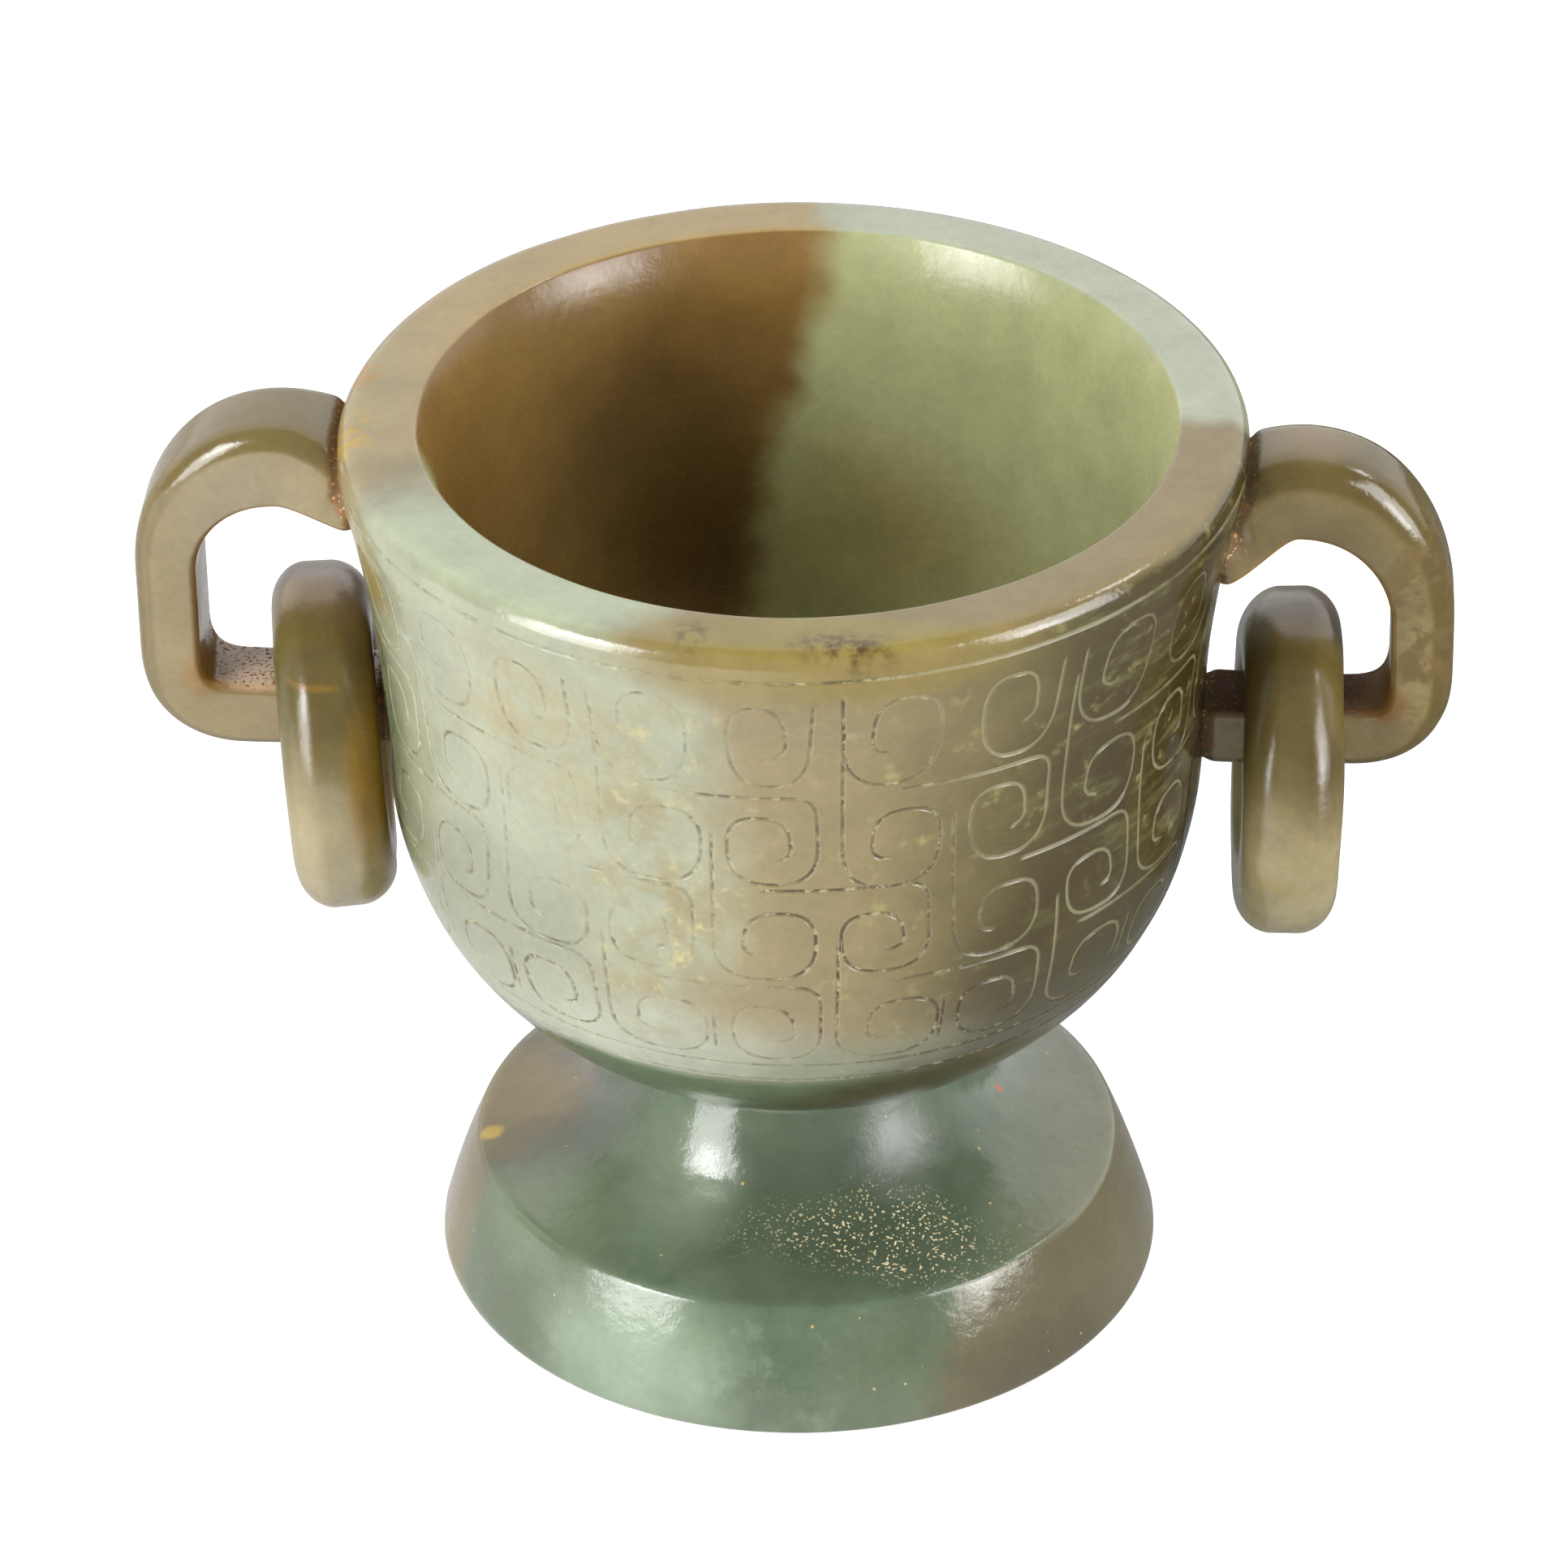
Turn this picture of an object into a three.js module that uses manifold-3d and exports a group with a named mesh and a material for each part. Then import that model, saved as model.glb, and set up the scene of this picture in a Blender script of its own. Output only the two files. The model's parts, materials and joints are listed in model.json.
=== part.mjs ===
// Jade libation cup: a deep bowl on a spreading foot, two loop handles and two loose rings,
// all carved from one block of stone. Millimetres and degrees, +Z up, handles along X.
// The origin is the centre of the foot's resting face.

import * as THREE from "three";
import { mergeVertices } from "three/addons/utils/BufferGeometryUtils.js";
import Module from "manifold-3d";

const wasm = await Module();
wasm.setup();

// Whole cup
const cupHeight = 68.4; // resting face to the top of the rim
const neckHeight = 19.8; // where the bowl's underside meets the foot's neck
const carvingGap = 0.3; // parting line between a handle's root and the bowl's wall

// Bowl, outside
const rimRadius = 31.4; // the lip band under the rim
const lipBand = 3.4; // height of the upright band at the lip
const lipRounding = 1.2; // outer edge of the rim
const upperWall = 23.4; // from the rim down to the slimmest part of the wall
const bellyRadius = 28.8; // slimmest part of the wall, where the belly starts to close
const bellyFullness = 2.34; // 2 is an ellipse, more is squarer
const joinRadius = 11.6; // the bowl's underside where the neck takes over

// Bowl, inside
const rimWall = 4.8; // stone left at the rim
const bellyWall = 3.9; // stone left at the slimmest part of the wall
const floorThickness = 7.6; // stone left over the neck
const mouthRounding = 0.7; // inner edge of the rim

// Foot
const waistRadius = 10.8; // slimmest part of the neck
const waistHeight = 17.6;
const ledgeRadius = 23; // edge between the sloping top and the skirt
const ledgeHeight = 8.8;
const ledgeRounding = 0.4;
const baseRadius = 26.3; // widest part of the skirt
const baseRounding = 0.8;
const restingRing = 5.4; // width of the flat ring that the cup stands on
const recessDepth = 3; // shallow hollow ground under the foot
const recessSlope = 1.6; // how far the hollow's side leans in

// Handles: a strap that springs from the lip, arches over and returns as a level bar
const loopReach = 12.8; // slimmest wall to the inner face of the leg
const barDrop = 21.35; // rim's top to the upper face of the bar
const rootBury = 3; // how far the strap runs on before the wall cuts it

// Each handle's own line. The drops run from the rim's top to the middle of the strap, at the wall
// and at the crown. Reach is from the lip to the crown, fall is the height of the arch's outer
// quarter, and corner is the radius of the lower corner.
const leftLine = { rootDrop: 4.5, crownDrop: 3.15, reach: 4.2, fall: 9.2, corner: 5 };
const rightLine = { rootDrop: 5.6, crownDrop: 3.9, reach: 3.2, fall: 10, corner: 4.8 };

// Sections of the strap: width along Y, thickness, roundings of the outer and inner edges
const leftRootSection = { width: 11.2, thickness: 4.8, outer: 1.6, inner: 0.8 };
const rightRootSection = { width: 11.2, thickness: 6, outer: 2, inner: 0.8 };
const crownSection = { width: 8, thickness: 5.9, outer: 1.8, inner: 0.7 };
const legSection = { width: 6.8, thickness: 4.3, outer: 1.7, inner: 0.7 };
const barSection = { width: 6, thickness: 4.8, outer: 0.9, inner: 0.9 };

// Rings: loose on the bars, free to swing right round them
const ringRadius = 12.3;
const ringHole = 7.2; // radius of the hole
const ringThickness = 7;
const ringOuterRounding = 2.4;
const ringInnerRounding = 1.6;
const ringClearance = 0.08; // least play between a turning ring and its bar
const leftRingPlace = 0.62; // slimmest wall to the ring's inner face, along the bar
const rightRingPlace = 2.4;

// How the rings hang, in degrees: leaned foot towards the bowl, and turned front edge towards it
const leftRingPose = { lean: 3.4, turn: 7 };
const rightRingPose = { lean: 1.2, turn: -2.5 };

// Fineness: facets round a turned piece, and steps along each curve of a profile
const roundSegments = 60; // bowl and foot
const ringSegments = 40;
const wallSteps = { outside: 7, inside: 5 };
const bellySteps = { outside: 11, inside: 10 };
const footSteps = 9;
const rimSteps = { outside: 4, inside: 3 };
const strapSteps = { outer: 3, inner: 2 };
const ringSteps = 3;

// Places worked out from the sizes above
const bellyTop = cupHeight - upperWall;
const legThickness = legSection.thickness;
const barThickness = barSection.thickness;
const barHeight = cupHeight - barDrop - barThickness / 2;

// Superellipse quarter: the drop below its widest level at a given radius, as a share of its depth
const closing = (radius, widest) => (1 - (radius / widest) ** bellyFullness) ** (1 / bellyFullness);
const bellyDepth = (bellyTop - neckHeight) / closing(joinRadius, bellyRadius);

// Radius of the upper wall, which flares upwards from a base radius to a lip radius
function flare(height, base, lip, lipLevel) {
  const rise = Math.min((height - bellyTop) / (lipLevel - bellyTop), 1);
  return base + (lip - base) * rise * rise;
}

// Points down an upper wall, from its lip to the belly's top
function wallPoints(base, lip, lipLevel, steps) {
  const points = [];
  for (let i = 0; i < steps; i += 1) {
    const height = lipLevel + ((bellyTop - lipLevel) * i) / steps;
    points.push(new THREE.Vector2(flare(height, base, lip, lipLevel), height));
  }
  return points;
}

// Points down a belly, from its widest level in to the radius where it ends
function bellyPoints(widest, depth, endRadius, steps) {
  const ratio = endRadius / widest;
  const endAngle = Math.acos(ratio ** (bellyFullness / 2));
  const points = [];
  for (let i = 0; i <= steps; i += 1) {
    const angle = (endAngle * i) / steps;
    const radius = widest * Math.cos(angle) ** (2 / bellyFullness);
    const drop = depth * Math.sin(angle) ** (2 / bellyFullness);
    points.push(new THREE.Vector2(i === steps ? endRadius : radius, bellyTop - drop));
  }
  return points;
}

// An arc round a centre, from one angle to the next, in degrees
function roundingPoints(x, y, radius, from, to, steps) {
  const points = [];
  for (let i = 0; i <= steps; i += 1) {
    const angle = THREE.MathUtils.degToRad(from + ((to - from) * i) / steps);
    points.push(new THREE.Vector2(x + radius * Math.cos(angle), y + radius * Math.sin(angle)));
  }
  return points;
}

// One closed surface: shared vertices merged, and the slivers at an axis dropped
function closeSurface(geometry) {
  geometry.deleteAttribute("normal");
  geometry.deleteAttribute("uv");
  const merged = mergeVertices(geometry, 1e-4);
  const source = merged.index.array;
  const kept = [];
  for (let i = 0; i < source.length; i += 3) {
    const [a, b, c] = [source[i], source[i + 1], source[i + 2]];
    if (a !== b && b !== c && c !== a) kept.push(a, b, c);
  }
  merged.setIndex(kept);
  merged.computeVertexNormals();
  return merged;
}

// A profile of radius and height turned about Z, from the axis up the outside and back to the axis
function turned(profile, segments) {
  const geometry = new THREE.LatheGeometry(profile, segments);
  geometry.rotateX(Math.PI / 2);
  return closeSurface(geometry);
}

function toSolid(geometry) {
  const vertProperties = new Float32Array(geometry.attributes.position.array);
  const triVerts = new Uint32Array(geometry.index.array);
  return new wasm.Manifold(new wasm.Mesh({ numProp: 3, vertProperties, triVerts }));
}

function fromSolid(solid) {
  const mesh = solid.getMesh();
  const geometry = new THREE.BufferGeometry();
  geometry.setAttribute("position", new THREE.BufferAttribute(mesh.vertProperties, 3));
  geometry.setIndex(new THREE.BufferAttribute(mesh.triVerts, 1));
  geometry.computeVertexNormals();
  return geometry;
}

// The bowl's outside from the lip band down to the neck, grown outwards by a gap
function outerWall(gap) {
  const points = [
    ...wallPoints(bellyRadius, rimRadius, cupHeight - lipBand, wallSteps.outside),
    ...bellyPoints(bellyRadius, bellyDepth, joinRadius, bellySteps.outside),
  ];
  return points.map((point) => new THREE.Vector2(point.x + gap, point.y));
}

// Bowl: underside and wall outside, rounded rim, and a hollow with its own belly
function makeBowl() {
  const mouthRadius = rimRadius - rimWall;
  const hollowRadius = bellyRadius - bellyWall;
  const hollowDepth = bellyTop - neckHeight - floorThickness;
  const [lipX, lipY] = [rimRadius - lipRounding, cupHeight - lipRounding];
  const outside = [
    ...roundingPoints(lipX, lipY, lipRounding, 90, 0, rimSteps.outside),
    ...outerWall(0),
    new THREE.Vector2(0, neckHeight),
  ];
  const [mouthX, mouthY] = [mouthRadius + mouthRounding, cupHeight - mouthRounding];
  const inside = [
    ...roundingPoints(mouthX, mouthY, mouthRounding, 90, 180, rimSteps.inside),
    ...wallPoints(hollowRadius, mouthRadius, mouthY, wallSteps.inside).slice(1),
    ...bellyPoints(hollowRadius, hollowDepth, 0, bellySteps.inside),
  ];
  return turned([...outside.reverse(), ...inside], roundSegments);
}

// Foot: narrow neck, sloping top, crisp ledge, skirt and a shallow hollow underneath
function makeFoot() {
  const skirtLean = (baseRadius - ledgeRadius) / ledgeHeight;
  const innerEdge = baseRadius - baseRounding - restingRing;
  const [sweep, rise] = [ledgeRadius - waistRadius, waistHeight - ledgeHeight];
  const ledgePull = { inwards: 0.48, upwards: 0.25 }; // shares of the sweep and of the rise
  const waistPull = 0.57; // share of the rise, straight down from the waist
  const outline = new THREE.Path();
  outline.moveTo(0, recessDepth);
  outline.lineTo(innerEdge - recessSlope, recessDepth);
  outline.lineTo(innerEdge, 0);
  outline.lineTo(baseRadius - baseRounding, 0);
  outline.quadraticCurveTo(baseRadius, 0, baseRadius - baseRounding * skirtLean, baseRounding);
  outline.lineTo(ledgeRadius + ledgeRounding * skirtLean, ledgeHeight - ledgeRounding);
  outline.lineTo(ledgeRadius - ledgeRounding, ledgeHeight + ledgeRounding / 2);
  outline.bezierCurveTo(
    ledgeRadius - ledgePull.inwards * sweep, ledgeHeight + ledgePull.upwards * rise,
    waistRadius, waistHeight - waistPull * rise,
    waistRadius, waistHeight,
  );
  outline.quadraticCurveTo(waistRadius, neckHeight, joinRadius, neckHeight);
  outline.lineTo(0, neckHeight);
  return turned(outline.getPoints(footSteps), roundSegments);
}

// The bowl's outside grown by the parting gap, to cut the handles' roots to the wall's curve
function makeRootCutter() {
  const top = new THREE.Vector2(rimRadius + carvingGap, cupHeight + carvingGap);
  const [start, end] = [new THREE.Vector2(0, top.y), new THREE.Vector2(0, neckHeight)];
  return toSolid(turned([start, top, ...outerWall(carvingGap), end].reverse(), roundSegments));
}

// Section of the strap: a rectangle with its own roundings outside and inside, seen along the path
function strapSection({ width, thickness, outer, inner }) {
  const [w, t] = [width / 2, thickness / 2];
  return [
    ...roundingPoints(w - outer, t - outer, outer, 0, 90, strapSteps.outer),
    ...roundingPoints(outer - w, t - outer, outer, 90, 180, strapSteps.outer),
    ...roundingPoints(inner - w, inner - t, inner, 180, 270, strapSteps.inner),
    ...roundingPoints(w - inner, inner - t, inner, 270, 360, strapSteps.inner),
  ];
}

function blendSections(a, b, share) {
  const eased = share * share * (3 - 2 * share);
  const mix = (name) => THREE.MathUtils.lerp(a[name], b[name], eased);
  return { width: mix("width"), thickness: mix("thickness"), outer: mix("outer"), inner: mix("inner") };
}

// Middle line of a handle in the XZ plane, from the lip over the arch to the bar's end
function handleLine({ rootDrop, crownDrop, reach, fall, corner }) {
  const crownX = rimRadius + reach;
  const crownHeight = cupHeight - crownDrop;
  const legX = bellyRadius + loopReach + legThickness / 2;
  const legTop = crownHeight - fall;
  const rootHeight = cupHeight - rootDrop;
  const rise = crownHeight - rootHeight;
  const quarter = 0.55; // share of a side that makes a curve close to a quarter ellipse
  const line = new THREE.Path();
  line.moveTo(rimRadius - rootBury, rootHeight - rise / 2);
  line.bezierCurveTo(
    rimRadius, rootHeight, rimRadius + reach / 2, crownHeight, crownX, crownHeight,
  );
  line.bezierCurveTo(
    crownX + quarter * (legX - crownX), crownHeight, legX, legTop + quarter * fall, legX, legTop,
  );
  line.lineTo(legX, barHeight + corner);
  line.quadraticCurveTo(legX, barHeight, legX - corner, barHeight);
  line.lineTo(bellyRadius - rootBury, barHeight);
  return line;
}

// A handle on the right: the section carried along the middle line, then cut to the bowl's wall
function makeHandle(strapLine, rootSection, cutter) {
  const stretches = [
    { from: rootSection, to: crownSection, steps: 6 },
    { from: crownSection, to: legSection, steps: 8 },
    { from: legSection, to: legSection, steps: 1 },
    { from: legSection, to: barSection, steps: 6 },
    { from: barSection, to: barSection, steps: 1 },
  ];
  const sections = [];
  handleLine(strapLine).curves.forEach((curve, index) => {
    const { from, to, steps } = stretches[index];
    for (let i = index === 0 ? 0 : 1; i <= steps; i += 1) {
      const centre = curve.getPoint(i / steps);
      const along = curve.getTangent(i / steps);
      const section = strapSection(blendSections(from, to, i / steps));
      sections.push(section.map(({ x, y }) => [centre.x - along.y * y, x, centre.y + along.x * y]));
    }
  });
  const around = sections[0].length;
  const index = [];
  for (let i = 0; i < sections.length - 1; i += 1) {
    for (let j = 0; j < around; j += 1) {
      const [a, b] = [i * around + j, i * around + ((j + 1) % around)];
      index.push(a, b, a + around, b, b + around, a + around);
    }
  }
  const last = (sections.length - 1) * around;
  for (let j = 1; j < around - 1; j += 1) {
    index.push(0, j + 1, j, last, last + j, last + j + 1);
  }
  const geometry = new THREE.BufferGeometry();
  geometry.setAttribute("position", new THREE.Float32BufferAttribute(sections.flat(2), 3));
  geometry.setIndex(index);
  return fromSolid(toSolid(closeSurface(geometry)).subtract(cutter));
}

// Ring: a rounded square section turned about X
function makeRing() {
  const half = ringThickness / 2;
  const [outer, inner, steps] = [ringOuterRounding, ringInnerRounding, ringSteps];
  const profile = [
    ...roundingPoints(ringRadius - outer, half - outer, outer, 90, 0, steps),
    ...roundingPoints(ringRadius - outer, outer - half, outer, 0, -90, steps),
    ...roundingPoints(ringHole + inner, inner - half, inner, 270, 180, steps),
    ...roundingPoints(ringHole + inner, half - inner, inner, 180, 90, steps),
  ];
  profile.push(profile[0].clone());
  const geometry = new THREE.LatheGeometry(profile.reverse(), ringSegments);
  geometry.rotateZ(-Math.PI / 2);
  return closeSurface(geometry);
}

// How far a ring's centre hangs below its bar's middle, so that it clears the bar all the way round
function ringDrop({ lean, turn }) {
  const { width, thickness, outer } = barSection;
  const barReach = Math.hypot(width / 2 - outer, thickness / 2 - outer) + outer;
  const tilt = THREE.MathUtils.degToRad(Math.hypot(lean, turn));
  return ringHole - barReach - (ringThickness / 2) * Math.sin(tilt) - ringClearance;
}

function makeMesh(name, geometry, color, roughness) {
  const material = new THREE.MeshStandardMaterial({ color, roughness, metalness: 0 });
  const mesh = new THREE.Mesh(geometry, material);
  mesh.name = name;
  return mesh;
}

// A ring on its own pivot at the bar's middle, leaned before it is turned, so that its centre hangs
// at its lowest. Side is 1 for right and -1 for left.
function hangRing(name, geometry, side, place, pose) {
  const pivot = new THREE.Group();
  pivot.position.set(side * (bellyRadius + place + ringThickness / 2), 0, barHeight);
  pivot.rotation.order = "ZYX";
  pivot.rotation.y = side * THREE.MathUtils.degToRad(pose.lean);
  pivot.rotation.z = -side * THREE.MathUtils.degToRad(pose.turn);
  const ring = makeMesh(name, geometry, 0x6f6a45, 0.22);
  ring.position.z = -ringDrop(pose);
  pivot.add(ring);
  return pivot;
}

const cup = new THREE.Group();
cup.name = "libation_cup";

const cutter = makeRootCutter();
const rightStrap = makeHandle(rightLine, rightRootSection, cutter);
const rightHandle = makeMesh("right_handle", rightStrap, 0x8f8464, 0.25);
const leftStrap = makeHandle(leftLine, leftRootSection, cutter);
const leftHandle = makeMesh("left_handle", leftStrap, 0x9a9273, 0.25);
leftHandle.rotation.z = Math.PI;

const ring = makeRing();
cup.add(
  makeMesh("bowl", makeBowl(), 0xa5a988, 0.22),
  makeMesh("foot", makeFoot(), 0x6d8070, 0.22),
  leftHandle,
  rightHandle,
  hangRing("left_ring", ring, -1, leftRingPlace, leftRingPose),
  hangRing("right_ring", ring.clone(), 1, rightRingPlace, rightRingPose),
);

export default cup;
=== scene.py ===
# %% [markdown]
# # A carved jade cup with two loose rings
# One block of nephrite was cut into a deep bowl on a spreading foot, with two strap handles that
# make loops, and a thick ring was carved free in each loop. This lesson builds the visible stone
# around a fixed frame: the frame says where every piece is and how the rings swing.

# %% Tools and the frame
import json

import bpy
import numpy as np
from mathutils import Matrix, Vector
from mathutils.geometry import delaunay_2d_cdt


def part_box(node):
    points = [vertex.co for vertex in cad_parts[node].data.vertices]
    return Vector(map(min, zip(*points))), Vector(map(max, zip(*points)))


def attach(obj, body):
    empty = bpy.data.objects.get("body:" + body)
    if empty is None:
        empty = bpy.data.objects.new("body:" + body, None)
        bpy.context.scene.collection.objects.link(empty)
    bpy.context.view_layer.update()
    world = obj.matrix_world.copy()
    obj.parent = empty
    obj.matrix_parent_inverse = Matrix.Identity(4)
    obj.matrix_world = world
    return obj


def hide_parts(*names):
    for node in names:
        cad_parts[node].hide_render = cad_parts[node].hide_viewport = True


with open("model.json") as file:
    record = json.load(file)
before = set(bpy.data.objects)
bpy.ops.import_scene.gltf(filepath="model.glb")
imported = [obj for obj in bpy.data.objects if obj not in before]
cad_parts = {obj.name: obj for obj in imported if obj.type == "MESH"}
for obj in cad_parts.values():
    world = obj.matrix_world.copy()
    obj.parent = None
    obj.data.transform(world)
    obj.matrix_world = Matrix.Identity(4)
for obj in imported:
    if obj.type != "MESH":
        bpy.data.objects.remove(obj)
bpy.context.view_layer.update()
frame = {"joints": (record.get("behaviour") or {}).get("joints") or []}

# %% [markdown]
# ## Sizes
# Lengths are written in millimetres, as a carver would measure them, and turned into metres only
# when a mesh is made. Whatever the frame already knows is read from it.

# %% Sizes in millimetres
MM = 0.001
low, high = (np.array(corner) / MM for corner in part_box("bowl"))
CUP_HEIGHT = high[2]
NECK_HEIGHT = low[2]
RIM_RADIUS = high[1]
BASE_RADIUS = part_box("foot")[1][0] / MM

LIP_BAND = 3.4
LIP_ROUNDING = 1.5
UPPER_WALL = 23.4
BELLY_RADIUS = 28.8
BELLY_FULLNESS = 2.34
JOIN_RADIUS = 11.6
RIM_WALL = 5.3
MOUTH_SHIFT = np.array([0.35, 0.1, 0])
BELLY_WALL = 4.3
FLOOR_THICKNESS = 7.6
MOUTH_ROUNDING = 0.6
MOUTH_FLARE = 8
BELLY_TOP = CUP_HEIGHT - UPPER_WALL
print(f"rim {2 * RIM_RADIUS:.1f} mm across, cup {CUP_HEIGHT:.1f} mm high, foot {2 * BASE_RADIUS:.1f} mm")

# %% [markdown]
# ## The camera
# The photograph was taken from a third of the way up with a long lens, slightly from the right, and
# the picture is rolled by two thirds of a degree. The camera comes first, so that everything after
# it can be judged through it.

# %% Camera
PHOTO_WIDTH = 1932
VIEW_AZIMUTH, VIEW_ELEVATION, VIEW_ROLL = np.radians([3.8, 32.975, 0.637])
VIEW_DISTANCE = 587.26
TARGET_HEIGHT = 38.14
AXIS_OFFSET = -0.865
LENS, SENSOR = 190.31, 36.0
NEAREST, FARTHEST = 0.01, 20


def facing(azimuth, elevation):
    """Right, up and back of whatever faces the cup from a direction given in radians."""
    sin_a, cos_a = np.sin(azimuth), np.cos(azimuth)
    sin_e, cos_e = np.sin(elevation), np.cos(elevation)
    back = np.array([sin_a * cos_e, -cos_a * cos_e, sin_e])
    right = np.array([cos_a, sin_a, 0.0])
    return right, np.cross(back, right), back


def add_object(name, data, axes=None, place=None):
    """Puts data into the scene as a new object, turned to its own axes at a place in metres."""
    obj = bpy.data.objects.new(name, data)
    if axes is not None:
        matrix = np.eye(4)
        matrix[:3, :3], matrix[:3, 3] = np.transpose(axes), place
        obj.matrix_world = Matrix(matrix.tolist())
    bpy.context.scene.collection.objects.link(obj)
    return obj


def aim_camera():
    """Stands at azimuth and elevation round the cup and looks at its axis, turned by the roll."""
    right, up, back = facing(VIEW_AZIMUTH, VIEW_ELEVATION)
    across = np.cos(VIEW_ROLL) * right - np.sin(VIEW_ROLL) * up
    upright = np.sin(VIEW_ROLL) * right + np.cos(VIEW_ROLL) * up
    place = np.array([0, 0, TARGET_HEIGHT]) + VIEW_DISTANCE * back + AXIS_OFFSET * across
    data = bpy.data.cameras.new("camera")
    data.lens, data.sensor_width, data.sensor_fit = LENS, SENSOR, "HORIZONTAL"
    data.clip_start, data.clip_end = NEAREST, FARTHEST
    bpy.context.scene.camera = add_object("camera", data, (across, upright, back), place * MM)


aim_camera()
print(f"camera {VIEW_DISTANCE:.0f} mm away, {LENS * PHOTO_WIDTH / SENSOR:.0f} pixels of focal length")

# %% [markdown]
# ## From arrays to meshes
# Every surface below is worked out as whole numpy arrays. These helpers number the faces of a grid
# of points and hand points, faces and surface masks to Blender in one go.

# %% Mesh helpers
def grid_faces(rows, around, first=0):
    """Two triangles for each cell of a grid whose rows close on themselves, numbered row by row."""
    row, column = np.meshgrid(np.arange(rows - 1), np.arange(around), indexing="ij")
    after = (column + 1) % around
    a, b = row * around + column, row * around + after
    c, d = a + around, b + around
    return first + np.stack([a, b, d, a, d, c], -1).reshape(-1, 3)


def fan_faces(ring, centre):
    """Triangles from each edge of a closed ring of points to one centre point."""
    return np.stack([ring, np.roll(ring, -1), np.full(len(ring), centre)], -1)


def make_piece(name, points, faces, masks=None, creases=None):
    """Points in millimetres and triangles become a smooth object whose place is in its mesh.
    Masks are one number per point. Creases are pairs of points whose edge stays sharp."""
    mesh = bpy.data.meshes.new(name)
    mesh.vertices.add(len(points))
    mesh.vertices.foreach_set("co", (points * MM).astype(np.float32).ravel())
    mesh.loops.add(faces.size)
    mesh.loops.foreach_set("vertex_index", faces.astype(np.int32).ravel())
    mesh.polygons.add(len(faces))
    mesh.polygons.foreach_set("loop_start", np.arange(0, faces.size, 3, dtype=np.int32))
    mesh.update(calc_edges=True)
    mesh.polygons.foreach_set("use_smooth", np.ones(len(faces), bool))
    for mask, values in (masks or {}).items():
        mesh.attributes.new(mask, "FLOAT", "POINT").data.foreach_set("value", values.astype(np.float32))
    if creases is not None:
        ends = np.empty(len(mesh.edges) * 2, np.int32)
        mesh.edges.foreach_get("vertices", ends)
        key = np.sort(ends.reshape(-1, 2), 1) @ [len(points), 1]
        sharp = np.isin(key, np.sort(creases, 1) @ [len(points), 1])
        mesh.attributes.new("sharp_edge", "BOOLEAN", "EDGE").data.foreach_set("value", sharp)
    corners = np.sort(np.stack([faces, np.roll(faces, -1, 1)], -1).reshape(-1, 2), 1)
    shared = np.unique(corners @ [len(points), 1], return_counts=True)[1]
    print(f"{name}: {len(points)} points, {len(faces)} triangles, {(shared != 2).sum()} open edges")
    return add_object(name, mesh)


# %% [markdown]
# ## The hand in the work
# Nothing on the real cup is quite round or flat, because it was ground by eye against a wheel. A
# few slow waves, a tenth or two of a millimetre high, bend every outline and make the highlights
# wander as they do on hand polished stone.

# %% Slow waves
WAVES = 7
SHORTEST, LONGEST = 0.7, 1.5
SLOW_LENGTH, QUICK_LENGTH = 34, 7
AXIS_CALM = 8


def waves(x, y, z, seed, length, height):
    """Sum of a few sine waves that run in random directions, about as high as the height given."""
    draw = np.random.default_rng(seed)
    way = draw.normal(size=(WAVES, 3))
    way /= np.linalg.norm(way, axis=1)[:, None]
    pitch = 2 * np.pi / (length * draw.uniform(SHORTEST, LONGEST, WAVES))
    phase = draw.uniform(0, 2 * np.pi, WAVES)
    run = x[..., None] * way[:, 0] + y[..., None] * way[:, 1] + z[..., None] * way[:, 2]
    return height * np.sin(run * pitch + phase).sum(-1) / np.sqrt(WAVES)


def uneven(points, seed, slow, quick):
    """How far each point strays: slow waves of one height and quicker ones of another."""
    return waves(*points.T, seed, SLOW_LENGTH, slow) + waves(*points.T, seed + 1, QUICK_LENGTH, quick)


def three_way(points, seed, length):
    """Waves of height 1 along each of the three directions."""
    return np.stack([waves(*points.T, seed + i, length, 1.0) for i in range(3)], -1)


def pushed_out(points, shift):
    """The points moved away from the cup's axis by a shift, which fades out near the axis."""
    away = np.hypot(points[:, 0], points[:, 1])
    gain = 1 + shift * np.clip(away / AXIS_CALM, 0, 1) / np.maximum(away, 1)
    return points * np.stack([gain, gain, np.ones(len(points))], -1)


print(f"{WAVES} waves to a sum, from {SHORTEST} to {LONGEST} times the length asked for")

# %% [markdown]
# ## The bowl's wall
# Down the outside runs one line: an upright lip band, a wall that narrows a little, and a belly
# that closes as a superellipse to the neck. The wall is a function of two parameters, the angle
# round the cup and the distance down that line, and the carving is laid out in the same two.

# %% Outer line of the bowl
def wall_radius(height):
    """Radius of the outside: a parabola above the belly's top, a superellipse below it."""
    rise = np.clip((height - BELLY_TOP) / (UPPER_WALL - LIP_BAND), 0, 1)
    upper = BELLY_RADIUS + (RIM_RADIUS - BELLY_RADIUS) * rise**2
    whole = (1 - (JOIN_RADIUS / BELLY_RADIUS) ** BELLY_FULLNESS) ** (1 / BELLY_FULLNESS)
    drop = np.clip((BELLY_TOP - height) / (BELLY_TOP - NECK_HEIGHT) * whole, 0, 1)
    belly = BELLY_RADIUS * (1 - drop**BELLY_FULLNESS) ** (1 / BELLY_FULLNESS)
    return np.where(height >= BELLY_TOP, upper, belly)


line_height = np.linspace(CUP_HEIGHT - LIP_ROUNDING, NECK_HEIGHT, 3000)
line_radius = wall_radius(line_height)
line_down = np.concatenate([[0], np.cumsum(np.hypot(np.diff(line_radius), np.diff(line_height)))])


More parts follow.
